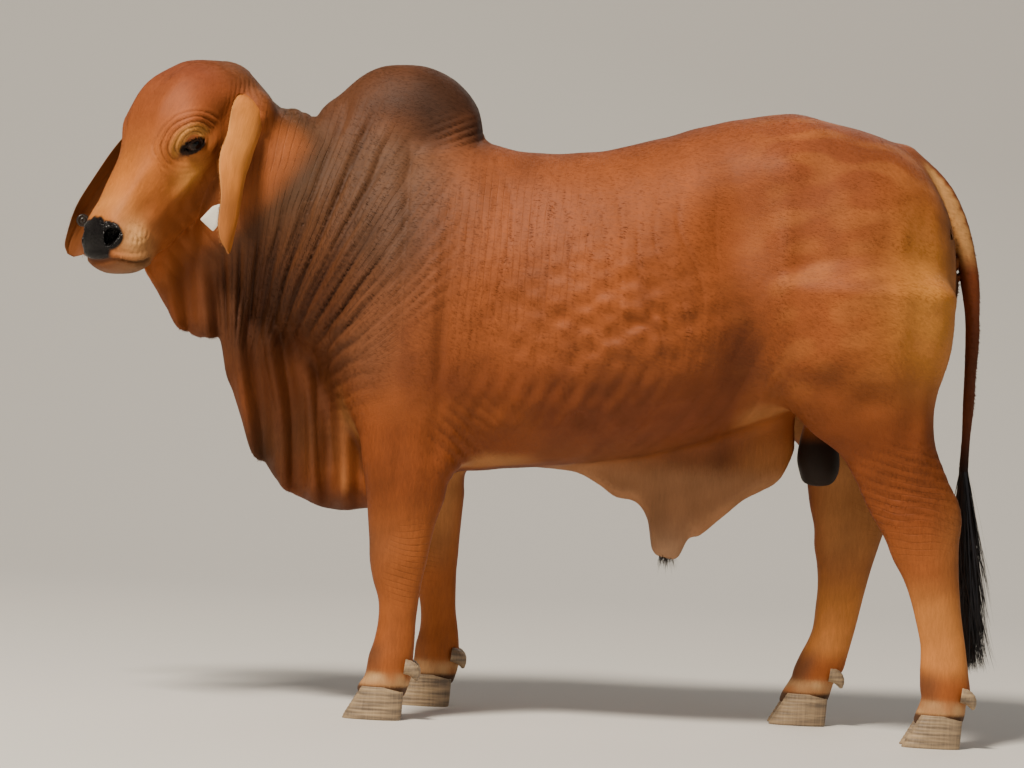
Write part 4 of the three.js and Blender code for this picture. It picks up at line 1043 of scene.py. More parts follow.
def net(field, lines):
    """Surface nets over a warped grid: one point in each cell that the surface crosses, at the mean of the
    crossings of its edges, and one quad for each grid edge that it crosses. Only blocks near the surface are
    worked out, with more room where tail and rump meet."""
    starts = [np.arange(0, len(v) - 1, BLOCK) for v in lines]
    index = np.stack(np.meshgrid(*starts, indexing="ij"), -1).reshape(-1, 3)
    low = np.stack([v[i] for v, i in zip(lines, index.T)], 1)
    high = np.stack([v[i + BLOCK] for v, i in zip(lines, index.T)], 1)
    value, slope = slope_of(field, (low + high) / 2, 0.004)
    reach = np.linalg.norm(high - low, axis=1) / 2
    margin = np.where(low[:, 0] > 0.88, 0.040, 0.012)
    index = index[np.abs(value) / np.maximum(np.linalg.norm(slope, axis=1), 1) < reach * 1.3 + margin]
    run = np.arange(BLOCK + 1)
    x, y, z = (v[i[:, None] + run] for v, i in zip(lines, index.T))
    shape = (len(index), BLOCK + 1, BLOCK + 1, BLOCK + 1)
    corner = (x[:, :, None, None], y[:, None, :, None], z[:, None, None, :])
    points = np.stack([np.broadcast_to(c, shape) for c in corner], -1).reshape(-1, 3)
    values = in_lots(field, points).reshape(shape)
    inside = values < 0
    steps = np.array([(a, b, c) for a in (0, 1) for b in (0, 1) for c in (0, 1)])
    count = sum(inside[:, a : BLOCK + a, b : BLOCK + b, c : BLOCK + c].astype(int) for a, b, c in steps)
    block, *cell = np.nonzero((count > 0) & (count < 8))
    cell = np.stack(cell, 1)
    at = [values[block, cell[:, 0] + a, cell[:, 1] + b, cell[:, 2] + c] for a, b, c in steps]
    place = index[block] + cell
    where = [np.stack([v[place[:, k] + step[k]] for k, v in enumerate(lines)], 1) for step in steps]
    total, crossings = np.zeros((len(cell), 3)), np.zeros(len(cell))
    for i, a in enumerate(steps):
        for j, b in enumerate(steps):
            if np.abs(a - b).sum() != 1 or i > j:
                continue
            crossed = (at[i] < 0) != (at[j] < 0)
            t = np.where(crossed, at[i] / np.where(crossed, at[i] - at[j], 1), 0)
            total += crossed[:, None] * (where[i] + t[:, None] * (where[j] - where[i]))
            crossings += crossed
    sizes = np.array([len(v) + 2 for v in lines])
    key = ((place[:, 0] + 1) * sizes[1] + place[:, 1] + 1) * sizes[2] + place[:, 2] + 1
    order = np.argsort(key)
    key, total, crossings = key[order], total[order], crossings[order]
    at, strides = [v[order] for v in at], np.array([sizes[1] * sizes[2], sizes[2], 1])
    quads = []
    for axis, far in ((0, 4), (1, 2), (2, 1)):
        crossed = np.flatnonzero((at[0] < 0) != (at[far] < 0))
        b, c = strides[(axis + 1) % 3], strides[(axis + 2) % 3]
        around = np.stack([key[crossed], key[crossed] - b, key[crossed] - b - c, key[crossed] - c], 1)
        found = np.searchsorted(key, around)
        found = np.minimum(found, len(key) - 1)
        whole = (key[found] == around).all(1)
        turned = at[0][crossed] < 0
        found = np.where(turned[:, None], found, found[:, ::-1])
        quads.append(found[whole])
    return total / crossings[:, None], np.concatenate(quads)


def settle(field, points, rounds):
    """Points moved onto the field's surface by Newton steps, and the outward direction there."""
    for _ in range(rounds):
        value, slope = slope_of(field, points, 0.0012)
        size = np.maximum((slope**2).sum(1), 0.05)
        points = points - np.clip(value / size, -0.004, 0.004)[:, None] * slope
    slope = slope_of(field, points, 0.0015)[1]
    return points, slope / np.maximum(np.linalg.norm(slope, axis=1, keepdims=True), 1e-9)


def largest_part(points, quads):
    """Which points belong to the largest joined part: labels spread along edges until none changes."""
    label = np.arange(len(points))
    a, b = quads.ravel(), np.roll(quads, 1, axis=1).ravel()
    while True:
        least = np.minimum(label[a], label[b])
        fresh = label.copy()
        np.minimum.at(fresh, label[a], least)
        np.minimum.at(fresh, label[b], least)
        fresh = fresh[fresh]
        if (fresh == label).all():
            return label == np.bincount(label).argmax()
        label = fresh


def kept(points, quads, keep):
    """The points to keep and the quads that only use them, numbered anew."""
    number = np.cumsum(keep) - 1
    return points[keep], number[quads[keep[quads].all(1)]]


# Ears

EAR_ROWS, EAR_AROUND = 120, 88


def ear_grid(side):
    """One ear as rows of closed loops: centre + span across + cup, edges rolled in, thick at the root."""
    spread = EAR_SPREAD[side]
    s, l, h = EAR_SPINE.T
    knots = head_point(s * (1 + (spread - 1) * 0.3), side * (0.084 + (l - 0.084) * spread), h)
    line = path_points(knots, EAR_ROWS)
    tangent = np.gradient(line, axis=0)
    tangent /= np.linalg.norm(tangent, axis=1, keepdims=True)
    outward = LEFTWARD * side - 0.55 * UPWARD - 0.35 * FORWARD
    outward /= np.linalg.norm(outward)
    across = np.cross(tangent, outward)
    across /= np.linalg.norm(across, axis=1, keepdims=True)
    normal = np.cross(across, tangent)
    normal *= np.sign(normal @ outward)[:, None]
    t = np.linspace(0, 1, EAR_ROWS)[:, None]
    angle = np.arange(EAR_AROUND) / EAR_AROUND * TAU
    width = EAR_WIDTH(t)
    c, sn = np.cos(angle), np.sin(angle)
    wave = 0.0022 * np.sin(TAU * t * 3.4 + 2.0 * np.sign(c)) * np.abs(c) ** 3 * smooth_step(t, 0.2, 0.5)
    span = np.sign(c) * np.abs(c) ** 0.9 * (width + wave)
    cup = 0.75 * span**2 / (width + 0.030) + 0.20 * np.abs(span) ** 4 / (width + 0.01) ** 3
    thick = 0.0105 - 0.0065 * t
    thick = thick * (1 + 0.5 * np.abs(c) ** 12)
    veins = 0.0010 * waver(np.stack([t * 0.06 + 0 * span, span, 0 * span], -1).reshape(-1, 3), 0.02, 41)
    ridge = np.exp(-(((c + 0.50) / 0.07) ** 2)) * smooth_step(t, 0.25, 0.5)
    veins = veins.reshape(span.shape) + 0.0035 * ridge
    lift = 0.008 - cup + np.sign(sn) * np.abs(sn) ** 0.8 * thick * 0.5 + veins * np.abs(sn)
    points = line[:, None] + across[:, None] * (span * 0.9)[..., None] + normal[:, None] * lift[..., None]
    return points, t + 0 * span, c + 0 * span, sn + 0 * t


def ear_layers(t, c, sn, points):
    """Colour and hair coordinates of an ear: tan outside, brown within and darkened there by painted shade,
    with pale rims.
    """
    rgb = np.tile(linear("#CB8A48"), (len(t), 1))
    paint(rgb, "#9A5A32", 0.8 * smooth_step(t, 0.26, 0.04))
    paint(rgb, "#DFA25A", 0.7 * np.exp(-(((t - 0.45) / 0.16) ** 2)))
    paint(rgb, "#9A6A48", 0.45 * smooth_step(t, 0.62, 0.78) * smooth_step(c, -0.1, 0.5))
    inner = smooth_step(sn, 0.0, -0.15)
    # The inside of the ear: its own brown, darkened further as painted shade.
    paint(rgb, "#6B4126", 0.85 * inner)
    paint(rgb, "#7C5636", 0.5 * inner * smooth_step(np.abs(c), 0.5, 0.8))
    rim = smooth_step(np.abs(c), 0.965, 0.992)
    paint(rgb, "#C99A60", 0.75 * rim * smooth_step(t, 0.1, 0.3))
    rgb *= (1 + 0.10 * waver(points, 0.05, 51))[:, None] * WARMTH
    lie = np.stack([-0.42 * t, 0.06 * c, 0.01 * sn], 1)
    return rgb, lie


def ring_quads(rows, around):
    """Quads of a grid of rows of closed loops."""
    i, j = np.meshgrid(np.arange(rows - 1), np.arange(around), indexing="ij")
    k = (j + 1) % around
    here, above = i * around, (i + 1) * around
    return np.stack([here + j, here + k, above + k, above + j], -1).reshape(-1, 4)


def closed_grid(points, flip=False):
    """Points and quads of rows of closed loops, shut at both ends with one point each."""
    rows, around = points.shape[:2]
    quads = ring_quads(rows, around)
    flat = np.concatenate([points.reshape(-1, 3), points[0].mean(0)[None], points[-1].mean(0)[None]])
    j = np.arange(around)
    k = (j + 1) % around
    first, last = rows * around, rows * around + 1
    low = np.stack([np.full(around, first), k, j], 1)
    high = np.stack([np.full(around, last), (rows - 1) * around + j, (rows - 1) * around + k], 1)
    tris = np.concatenate([low, high])
    if flip:
        quads, tris = quads[:, ::-1], tris[:, ::-1]
    return flat, quads, tris


# Objects


def mesh_object(name, points, faces, material, slot, **layers):
    """A smooth mesh object at the origin from design points, face arrays and layers with a value a point."""
    mesh = bpy.data.meshes.new(name)
    loops = np.concatenate([f.ravel() for f in faces]).astype(np.int32)
    sizes = np.concatenate([np.full(len(f), f.shape[1]) for f in faces])
    mesh.vertices.add(len(points))
    mesh.vertices.foreach_set("co", (points + EYE_SHIFT).astype(np.float32).ravel())
    mesh.loops.add(len(loops))
    mesh.loops.foreach_set("vertex_index", loops)
    mesh.polygons.add(len(sizes))
    mesh.polygons.foreach_set("loop_start", (np.cumsum(sizes) - sizes).astype(np.int32))
    mesh.update(calc_edges=True)
    mesh.polygons.foreach_set("use_smooth", np.ones(len(sizes), bool))
    for layer, values in layers.items():
        if layer == "OFBake":
            mesh.uv_layers.new(name=layer).data.foreach_set("uv", values[loops].astype(np.float32).ravel())
            continue
        kind = "FLOAT" if values.ndim == 1 else "FLOAT_VECTOR"
        data = mesh.attributes.new(layer, kind, "POINT").data
        data.foreach_set("value" if values.ndim == 1 else "vector", values.astype(np.float32).ravel())
    mesh.materials.append(material)
    if mesh.validate():
        raise RuntimeError(f"{name} had faces that had to be repaired")
    made = bpy.data.objects.new(name, mesh)
    bpy.context.scene.collection.objects.link(made)
    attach(made, "root")
    return made


def add(tree, kind, settings=None, inputs=None):
    """Adds one node, sets its settings, and gives its inputs values or links from other nodes' outputs."""
    made = tree.nodes.new(kind)
    for name, value in (settings or {}).items():
        setattr(made, name, value)
    for name, value in (inputs or {}).items():
        if isinstance(value, bpy.types.NodeSocket):
            tree.links.new(value, made.inputs[name])
        else:
            made.inputs[name].default_value = value
    return made


def finish_of(name, roughness, colour="#808080", **sockets):
    """A material with one principled surface; returns it with its tree and the surface node."""
    material = bpy.data.materials.new(name)
    material.use_nodes = True
    tree = material.node_tree
    surface = next(n for n in tree.nodes if n.type == "BSDF_PRINCIPLED")
    surface.inputs["Base Color"].default_value = (*linear(colour), 1)
    surface.inputs["Roughness"].default_value = roughness
    for socket, value in sockets.items():
        surface.inputs[socket.replace("_", " ").title().replace("Ior", "IOR")].default_value = value
    return material, tree, surface


def work_out(tree, values, steps):
    """Adds one arithmetic node for each (name, operation, a, b), and keeps its output under the name. Either
    side is a number or the name of an earlier value."""
    for name, operation, a, b in steps:
        pair = {0: values.get(a, a), 1: values.get(b, b)}
        values[name] = add(tree, "ShaderNodeMath", {"operation": operation}, pair).outputs[0]


def noise_along(tree, place, cells, detail):
    """Fractal noise whose cells count so many a metre along each axis of the place."""
    way = add(tree, "ShaderNodeVectorMath", {"operation": "MULTIPLY"}, {0: place, 1: cells}).outputs[0]
    noise = add(tree, "ShaderNodeTexNoise", None, {"Vector": way, "Scale": 1.0, "Detail": detail})
    return noise.outputs["Fac"]


# Cells a metre along and across the hair: streaks of 14 by 1.4 mm, and clumps of 36 by 6 mm
FINE_HAIR, CLUMPED_HAIR = (70, 700, 700), (28, 170, 170)
# Cells a metre of bare skin's grain, 3 mm, and of the nose pad's pebbles, 3.4 mm
SKIN_GRAIN, NOSE_PEBBLE = (330, 330, 330), 290.0


def hide_material():
    """Sleek short hide, brushed flat by wind and licking: a low even gloss broken by long fine streaks, fine
    creases between rolls of skin with painted shade in their valleys, and a pebbled wet nose pad that
    mirrors the sky."""
    material, tree, surface = finish_of("Short sleek hide", 0.56, specular_ior_level=0.22)
    named = {}
    for name in ("colour", "lie", "bare", "wet", "crease", "crease_depth"):
        named[name] = add(tree, "ShaderNodeAttribute", {"attribute_name": name})
    place = add(tree, "ShaderNodeTexCoord").outputs["Object"]
    lie = named["lie"].outputs["Vector"]
    values = {name: named[name].outputs["Fac"] for name in ("bare", "wet", "crease", "crease_depth")}
    values["fine"] = noise_along(tree, lie, FINE_HAIR, 2.0)
    values["clump"] = noise_along(tree, lie, CLUMPED_HAIR, 3.0)
    values["grain"] = noise_along(tree, place, SKIN_GRAIN, 2.0)
    pebble = {"Vector": place, "Scale": NOSE_PEBBLE}
    pebble = add(tree, "ShaderNodeTexVoronoi", {"feature": "DISTANCE_TO_EDGE"}, pebble)
    values["pebble_edge"] = pebble.outputs["Distance"]
    work_out(tree, values, [("folded", "PINGPONG", "crease", 0.5)])
    width = {0: values["folded"], 1: 0.0, 2: 0.17}
    ridge = add(tree, "ShaderNodeMapRange", {"interpolation_type": "SMOOTHSTEP"}, width)
    values["ridge"] = ridge.outputs[0]
    work_out(
        tree,
        values,
        (
            ("pebble_rise", "MULTIPLY", "pebble_edge", 3.0),
            ("pebble", "MINIMUM", "pebble_rise", 1.0),
            ("groove", "SUBTRACT", 1.0, "ridge"),
            ("valley", "MULTIPLY", "groove", "crease_depth"),
            ("hair", "SUBTRACT", 1.0, "bare"),
            ("fine_part", "MULTIPLY", "fine", 0.35),
            ("clump_light", "MULTIPLY", "clump", 0.45),
            ("streaks", "ADD", "fine_part", "clump_light"),
            ("even", "SUBTRACT", "streaks", 0.40),
            ("haired", "MULTIPLY", "even", "hair"),
            ("light", "ADD", 1.0, "haired"),
            ("valley_shade", "MULTIPLY", "valley", 0.34),
            ("shade", "SUBTRACT", "light", "valley_shade"),
            ("clump_rough", "MULTIPLY", "clump", 0.14),
            ("rough", "ADD", 0.56, "clump_rough"),
            ("clump_rise", "MULTIPLY", "clump", 0.55),
            ("coat_rise", "ADD", "fine_part", "clump_rise"),
            ("hair_rise", "MULTIPLY", "coat_rise", "hair"),
            ("grain_part", "MULTIPLY", "grain", 0.35),
            ("grain_rise", "MULTIPLY", "grain_part", "bare"),
            ("skin_rise", "ADD", "hair_rise", "grain_rise"),
            ("pebble_part", "MULTIPLY", "pebble", 0.7),
            ("wet_rise", "MULTIPLY", "pebble_part", "wet"),
            ("rise", "ADD", "skin_rise", "wet_rise"),
            ("valley_depth", "MULTIPLY", "valley", 1.3),
            ("height", "SUBTRACT", "rise", "valley_depth"),
        ),
    )
    colour = {0: named["colour"].outputs["Vector"], "Scale": values["shade"]}
    colour = add(tree, "ShaderNodeVectorMath", {"operation": "SCALE"}, colour)
    rough = add(tree, "ShaderNodeMix", None, {0: values["wet"], 2: values["rough"], 3: 0.24})
    relief = {"Strength": 1.0, "Distance": 0.001, "Height": values["height"]}
    bump = add(tree, "ShaderNodeBump", None, relief)
    for output, socket in ((colour, "Base Color"), (rough, "Roughness"), (bump, "Normal")):
        tree.links.new(output.outputs[0], surface.inputs[socket])
    return material


def coloured_material(name, roughness, **sockets):
    """A finish whose colour is the piece's own colour attribute."""
    material, tree, surface = finish_of(name, roughness, **sockets)
    colour = add(tree, "ShaderNodeAttribute", {"attribute_name": "colour"})
    tree.links.new(colour.outputs["Vector"], surface.inputs["Base Color"])
    return material, tree, surface


# Locks of hair


def unit(v):
    """Vectors brought to length one."""
    return v / np.maximum(np.linalg.norm(v, axis=-1, keepdims=True), 1e-9)


def locks(root, way, out, length, width, lift, sag, steps):
    """Flat tapered locks. The middle line is root + way L t + out lift t (1.5 - t) + sag L t^2, and the half
    width is w/2 (1 - t)^0.7. Returns points, quads, tips, the share t and the side of each point."""
    t = np.linspace(0, 1, steps + 1)
    length, lift = length[:, None, None], lift[:, None, None]
    line = root[:, None] + way[:, None] * length * t[:, None]
    line = line + out[:, None] * lift * (t * (1.5 - t))[:, None]
    line = line + sag[:, None] * length * (t**2)[:, None]
    side = unit(np.cross(way, out))[:, None] * (width[:, None] / 2 * (1 - t) ** 0.7)[..., None]
    pairs = np.stack([line - side, line + side], 2)[:, :-1]
    each = 2 * steps + 1
    points = np.concatenate([pairs.reshape(len(root), -1, 3), line[:, -1:]], 1)
    base = (np.arange(len(root)) * each)[:, None]
    k = 2 * np.arange(steps - 1)
    quad = np.stack([k, k + 1, k + 3, k + 2], 1).ravel()
    quads = (base + quad).reshape(-1, 4)
    tips = base + np.array([each - 3, each - 2, each - 1])
    share = np.concatenate([np.repeat(t[:-1], 2), [1.0]])
    edge = np.concatenate([np.tile([0.0, 1.0], steps), [0.5]])
    return points.reshape(-1, 3), quads, tips, np.tile(share, len(root)), np.tile(edge, len(root))


PATCH = 0.003
CHARTS = {
    "trunk": (0.01, 0.45, 0.60, 0.54),
    "dewlap": (0.62, 0.45, 0.22, 0.54),
    "head": (0.85, 0.45, 0.14, 0.54),
    "leg0": (0.01, 0.02, 0.15, 0.41),
    "leg1": (0.17, 0.02, 0.15, 0.41),
    "leg2": (0.33, 0.02, 0.18, 0.41),
    "leg3": (0.52, 0.02, 0.18, 0.41),
    "tail": (0.71, 0.02, 0.06, 0.41),
    "ears": (0.78, 0.02, 0.20, 0.41),
}


def in_chart(name, u, v):
    """Places in one chart of the unwrap from shares 0..1 of its width and height."""
    x, y, wide, high = CHARTS[name]
    return np.stack([x + wide * np.clip(u, 0, 1), y + high * np.clip(v, 0, 1)], -1)


def unwrap(p):
    """Places of skin points on the unwrapped skin: each limb is rolled out about its own middle line."""
    x, y, z = p.T
    uv = in_chart("trunk", (x + 0.8) / 1.9, np.arctan2(y, z - 1.02) / TAU + 0.5)
    sheet = (x < -0.14) & (z < 0.98) & (np.abs(y) < 0.25)
    hung = in_chart("dewlap", (x + 0.9) / 0.8, 0.5 + np.sign(y + 0.02) * (z - 0.44) / 1.2)
    uv = np.where(sheet[:, None], hung, uv)
    for k, (table, side, stance, shift) in enumerate(LEGS):
        top = 0.80 if table is FORELEG else 0.84
        middle = (table["front"](z) + table["back"](z)) / 2 + shift(z)
        away = np.hypot(x - middle, y - side * stance)
        on = (z < top) & (away < 0.22) & (np.abs(y) > 0.085)
        turn = np.arctan2(y - side * stance, x - middle) / TAU + 0.5
        uv = np.where(on[:, None], in_chart(f"leg{k}", turn, z / 0.85), uv)
    tail = (x > 1.0) & (np.abs(y) < 0.05) & (z < 1.15)
    uv = np.where(tail[:, None], in_chart("tail", np.arctan2(y, x - 1.08) / TAU + 0.5, z / 1.2), uv)
    q = head_local(p)
    head = face_share(q) > 0.5
    turn = np.arctan2(q[:, 1], q[:, 2] + 0.11) / TAU + 0.5
    return np.where(head[:, None], in_chart("head", turn, (q[:, 0] + 0.05) / 0.6), uv)


def hair_way(p):
    """Which way the hair lies: back along the trunk, down the neck and legs, out over the face."""
    x, z = p[:, 0], p[:, 2]
    way = np.stack([np.ones(len(p)), 0 * x, -0.30 + 0 * x], 1)
    down = smooth_step(z, 0.86, 0.68)[:, None]
    neck = smooth_step(x, -0.25, -0.50)[:, None]
    way = way + np.maximum(down, 0.75 * neck) * (np.array([0.1, 0, -1.0]) - way)
    q = head_local(p)
    face = face_share(q)[:, None]
    whorl = np.array([0.10, 0.0, 0.05])
    spread = unit((q - whorl) * (1.0, 1.0, 1.0) + np.array([0.10, 0, -0.06])) @ HEAD_AXES
    return unit(way + face * (spread - way))


def grow(name, skin, chance, count, length, seed, material, slot):
    """A piece of coat: short flat tufts on random quads of the skin, drawn by their chance, that lie along
    the hair and are shaded like the skin below them."""
    points, out, quads, rgb = skin
    draw = np.random.default_rng(seed)
    chosen = draw.choice(len(quads), count, p=chance / chance.sum())
    a, b = draw.uniform(0, 1, (2, count, 1))
    share = np.stack([(1 - a) * (1 - b), a * (1 - b), a * b, (1 - a) * b], 1)
    root, normal, tone = ((v[quads[chosen]] * share).sum(1) for v in (points, out, rgb))
    normal = unit(normal)
    way = hair_way(root) + 0.16 * draw.normal(size=(count, 3))
    way = unit(way - normal * (way * normal).sum(1, keepdims=True))
    long = length(root) * draw.uniform(0.7, 1.25, count)
    lift = 0.0009 + 0.06 * long * draw.uniform(0.3, 1.2, count)
    tone = tone * draw.uniform(0.92, 1.08, (count, 1))
    still = np.zeros((count, 3))
    thick = 0.17 * long + 0.0004
    made, four, three, t, edge = locks(root - normal * 0.0004, way, normal, long, thick, lift, still, 2)
    each = len(t) // count
    # Each tuft is painted slightly darker at its root and lighter at its tip: painted shade at the root,
    # painted light at the tip.
    colour = np.repeat(tone, each, 0) * (0.98 + 0.04 * t)[:, None]
    uv = np.repeat(unwrap(root), each, 0) + PATCH * np.stack([edge, t], 1)
    colour = np.clip(colour, 0.003, 0.95)
    piece = mesh_object(name, made, [four, three], material, slot, colour=colour, OFBake=uv)
    piece.data.normals_split_custom_set_from_vertices(np.repeat(normal, each, 0))
    return piece


# Settings


def measure(default, name, description):
    """A length setting in metres."""
    more = {"unit": "LENGTH", "subtype": "DISTANCE", "precision": 4}
    return bpy.props.FloatProperty(name=name, description=description, default=default, **more)


class BullSkinSettings(bpy.types.PropertyGroup):
    """Sizes of the skin's mesh."""

    fine: measure(0.0034, "Fine spacing", "Grid spacing on the head")
    coarse: measure(0.0080, "Coarse spacing", "Grid spacing on the rump and the legs")
    rounds: bpy.props.IntProperty(
        name="Rounds", description="Newton steps onto the field", default=2, min=1, max=6
    )


class BullCoatSettings(bpy.types.PropertyGroup):
    """Sizes of the short coat."""

    count: bpy.props.IntProperty(
        name="Tufts", description="Tufts in each piece of coat", default=62000, min=100
    )
    body_length: measure(0.0110, "Body hair", "Length of the tufts on the trunk")
    face_length: measure(0.0060, "Face hair", "Length of the tufts on the face and the feet")
    seed: bpy.props.IntProperty(name="Seed", description="Start of the random draws", default=11)


class BullSwitchSettings(bpy.types.PropertyGroup):
    """Sizes of the long hair at the end of the tail."""

    count: bpy.props.IntProperty(name="Locks", description="Locks in the switch", default=1700, min=10)
    top: measure(0.640, "Top", "Height where the long hair begins")
    low: measure(0.178, "Low", "Height of the longest tips")
    drift: measure(0.038, "Drift", "How far the tips hang back")


class BullStageSettings(bpy.types.PropertyGroup):
    """The light, the floor and the camera."""

    key: bpy.props.FloatProperty(name="Key", description="Power of the key light in watts", default=1350)
    fill: bpy.props.FloatProperty(name="Fill", description="Power of the fill light in watts", default=40)
    rim: bpy.props.FloatProperty(name="Rim", description="Power of the back light in watts", default=55)
    sky: bpy.props.FloatProperty(name="Sky", description="Strength of the pale surroundings", default=0.17)


SHEETS = {
    "bull_skin": BullSkinSettings,
    "bull_coat": BullCoatSettings,
    "bull_switch": BullSwitchSettings,
    "bull_stage": BullStageSettings,
}
BUILT = {}
LEG_NAMES = ("foreleg_left", "foreleg_right", "hindleg_left", "hindleg_right")
FLESH = ["torso", "hump", "neck", "dewlap", "head", "lower_lip", "nose_pad", "ear_left", "ear_right"]
FLESH += ["sheath", "scrotum", "tail_root", "tail_middle", "tail_lower"]
FLESH += [f"{leg}_{part}" for leg in LEG_NAMES for part in ("upper", "lower")]


class BULL_OT_skin(bpy.types.Operator):
    """Build the one skin from the field, with both ears"""

    bl_idname = "bull.skin"
    bl_label = "Skin"

    def execute(self, context):
        sheet = context.scene.bull_skin
        loose = 1.0
        fine, coarse = sheet.fine * loose, sheet.coarse * loose
        lines = [
            grid_line(-1.09, 1.16, -1.06, -0.62, fine, coarse),
            grid_line(-0.58, 0.38, -0.46, -0.02, fine, coarse),
            grid_line(0.03, 1.58, 0.98, 1.54, fine, coarse),
        ]
        points, quads = net(skin_field, lines)
        points, quads = kept(points, quads, largest_part(points, quads))
        points, out = settle(skin_field, points, sheet.rounds)
        colour, bare, wet = markings(points)
        lie = hair_lie(points)
        crease, depth = crease_lines(points)
        BUILT["skin"] = points, out, quads, colour
        faces = [quads]
        tris = []
        for side in (1, -1):
            grid, t, c, sn = ear_grid(side)
            flat, four, three = closed_grid(grid, flip=side > 0)
            ends = np.array([[0.0, 0.0, 0.0], [1.0, 0.0, 0.0]])
            ways = np.concatenate([np.stack([t, c, sn], -1).reshape(-1, 3), ends])
            rgb, ear_lie = ear_layers(*ways.T, flat)
            start = len(points)
            points = np.concatenate([points, flat])
            faces.append(four + start)
            tris.append(three + start)
            colour = np.concatenate([colour, rgb])
            lie = np.concatenate([lie, ear_lie])
            more = np.zeros(len(flat))
            bare, wet, crease, depth = (np.concatenate([v, more]) for v in (bare, wet, crease, depth))
        skin = mesh_object(
            "skin",
            points,
            [np.concatenate(faces), np.concatenate(tris)],
            hide_material(),
            "red_hide",
            colour=colour,
            lie=lie,
            bare=bare,
            wet=wet,
            crease=crease,
            crease_depth=depth,
        )
        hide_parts(*FLESH)
        return {"FINISHED"}


class BULL_OT_coat(bpy.types.Operator):
    """Grow the short flat coat over the skin in four pieces"""

    bl_idname = "bull.coat"
    bl_label = "Coat"

    def execute(self, context):
        sheet = context.scene.bull_coat
        count = sheet.count // 1
        material = coloured_material("Short flat coat", 0.62, specular_ior_level=0.22)[0]

        points, _, quads, _ = BUILT["skin"]
        corner = points[quads]
        area = np.linalg.norm(np.cross(corner[:, 2] - corner[:, 0], corner[:, 3] - corner[:, 1]), axis=1)
        middle = corner.mean(1)
        haired = area * (np.clip(1 - 1.6 * markings(middle)[1], 0, 1) * (middle[:, 2] > 0.075))
        face = face_share(head_local(middle)) > 0.35
        x, _, z = middle.T
        places = {
            "head": face,
            "front": ~face & (x < 0.12) & (z > 0.62),
            "back": (x >= 0.12) & (z > 0.72),
            "low": (z <= 0.62) | ((z <= 0.72) & (x >= 0.12)),
        }

        def length(p):
            face = face_share(head_local(p))
            feet = smooth_step(p[:, 2], 0.75, 0.30)
            short = np.maximum(face, feet)
            return sheet.body_length + short * (sheet.face_length - sheet.body_length)

        for k, (name, place) in enumerate(places.items()):
            chance, seed = haired * place, sheet.seed + k
            grow(f"coat_{name}", BUILT["skin"], chance, count, length, seed, material, "red_hide")
        return {"FINISHED"}


class BULL_OT_eyes(bpy.types.Operator):
    """Build both eyeballs with their dark irises and level pupils"""

    bl_idname = "bull.eyes"
    bl_label = "Eyes"

    def execute(self, context):
        material = coloured_material("Wet dark eyeball", 0.14, specular_ior_level=0.18)[0]
        polar = np.linspace(0, math.pi, 72)[:, None]
        turn = (np.arange(120) / 120 * TAU)[None]
        out, wide = np.cos(polar) + 0 * turn, np.sin(polar)
        a, b = wide * np.cos(turn), wide * np.sin(turn)
        bulge = 1 + 0.05 * np.exp(-((polar / 0.45) ** 2))
        local = out[..., None] * EYE_LOOK + a[..., None] * EYE_SLANT + b[..., None] * EYE_OVER
        local = local * bulge[..., None]
        a, b = a * EYE_RADIUS, b * EYE_RADIUS
        rgb = np.tile(linear("#3A2C26"), (a.size, 1))
        iris = smooth_step(np.hypot(a, b), 0.0142, 0.0128).ravel()
        paint(rgb, "#1C0F0A", iris)
        fibres = (0.5 + 0.5 * np.sin(turn * 46 + 3 * np.sin(turn * 7)) + 0 * polar).ravel()
        paint(rgb, "#34200F", 0.55 * iris * fibres)
        paint(rgb, "#040404", smooth_step(np.hypot(a / 1.9, b), 0.0046, 0.0040).ravel())
        ends = rgb[[0, -1]]
        for side, name in ((1, "left"), (-1, "right")):
            q = (EYE + local * EYE_RADIUS) * (1, side, 1)
            flat, four, three = closed_grid(head_point(*np.moveaxis(q, -1, 0)), flip=side < 0)
            colour = np.concatenate([rgb, ends])
            eye = mesh_object(f"eyeball_{name}", flat, [four, three], material, "eye_globe", colour=colour)
            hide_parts(f"eye_{name}")
        return {"FINISHED"}


class BULL_OT_hooves(bpy.types.Operator):
    """Build eight claws and eight dewclaws of dark horn with growth rings"""

    bl_idname = "bull.hooves"
    bl_label = "Hooves"

    def execute(self, context):
        material = horn_material()
        for (table, side, stance, shift), leg in zip(LEGS, LEG_NAMES):
            x = (table["front"](0.072) + table["back"](0.072)) / 2 + shift(0.072)
            heel = table["back"](0.112) + shift(0.112)
            for which, inward in (("outer", 1), ("inner", -1)):
                y = side * (stance + inward * 0.029)
                flat, four, three = closed_grid(claw(x, y, -side * inward))
                made = mesh_object(f"{leg}_horn_{which}", flat, [four, three], material, "hoof_horn")
                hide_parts(f"{leg}_claw_{which}")
                flat, four, three = closed_grid(dewclaw(heel, y))
                made = mesh_object(f"{leg}_small_horn_{which}", flat, [four, three], material, "hoof_horn")
                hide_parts(f"{leg}_dewclaw_{which}")
        return {"FINISHED"}


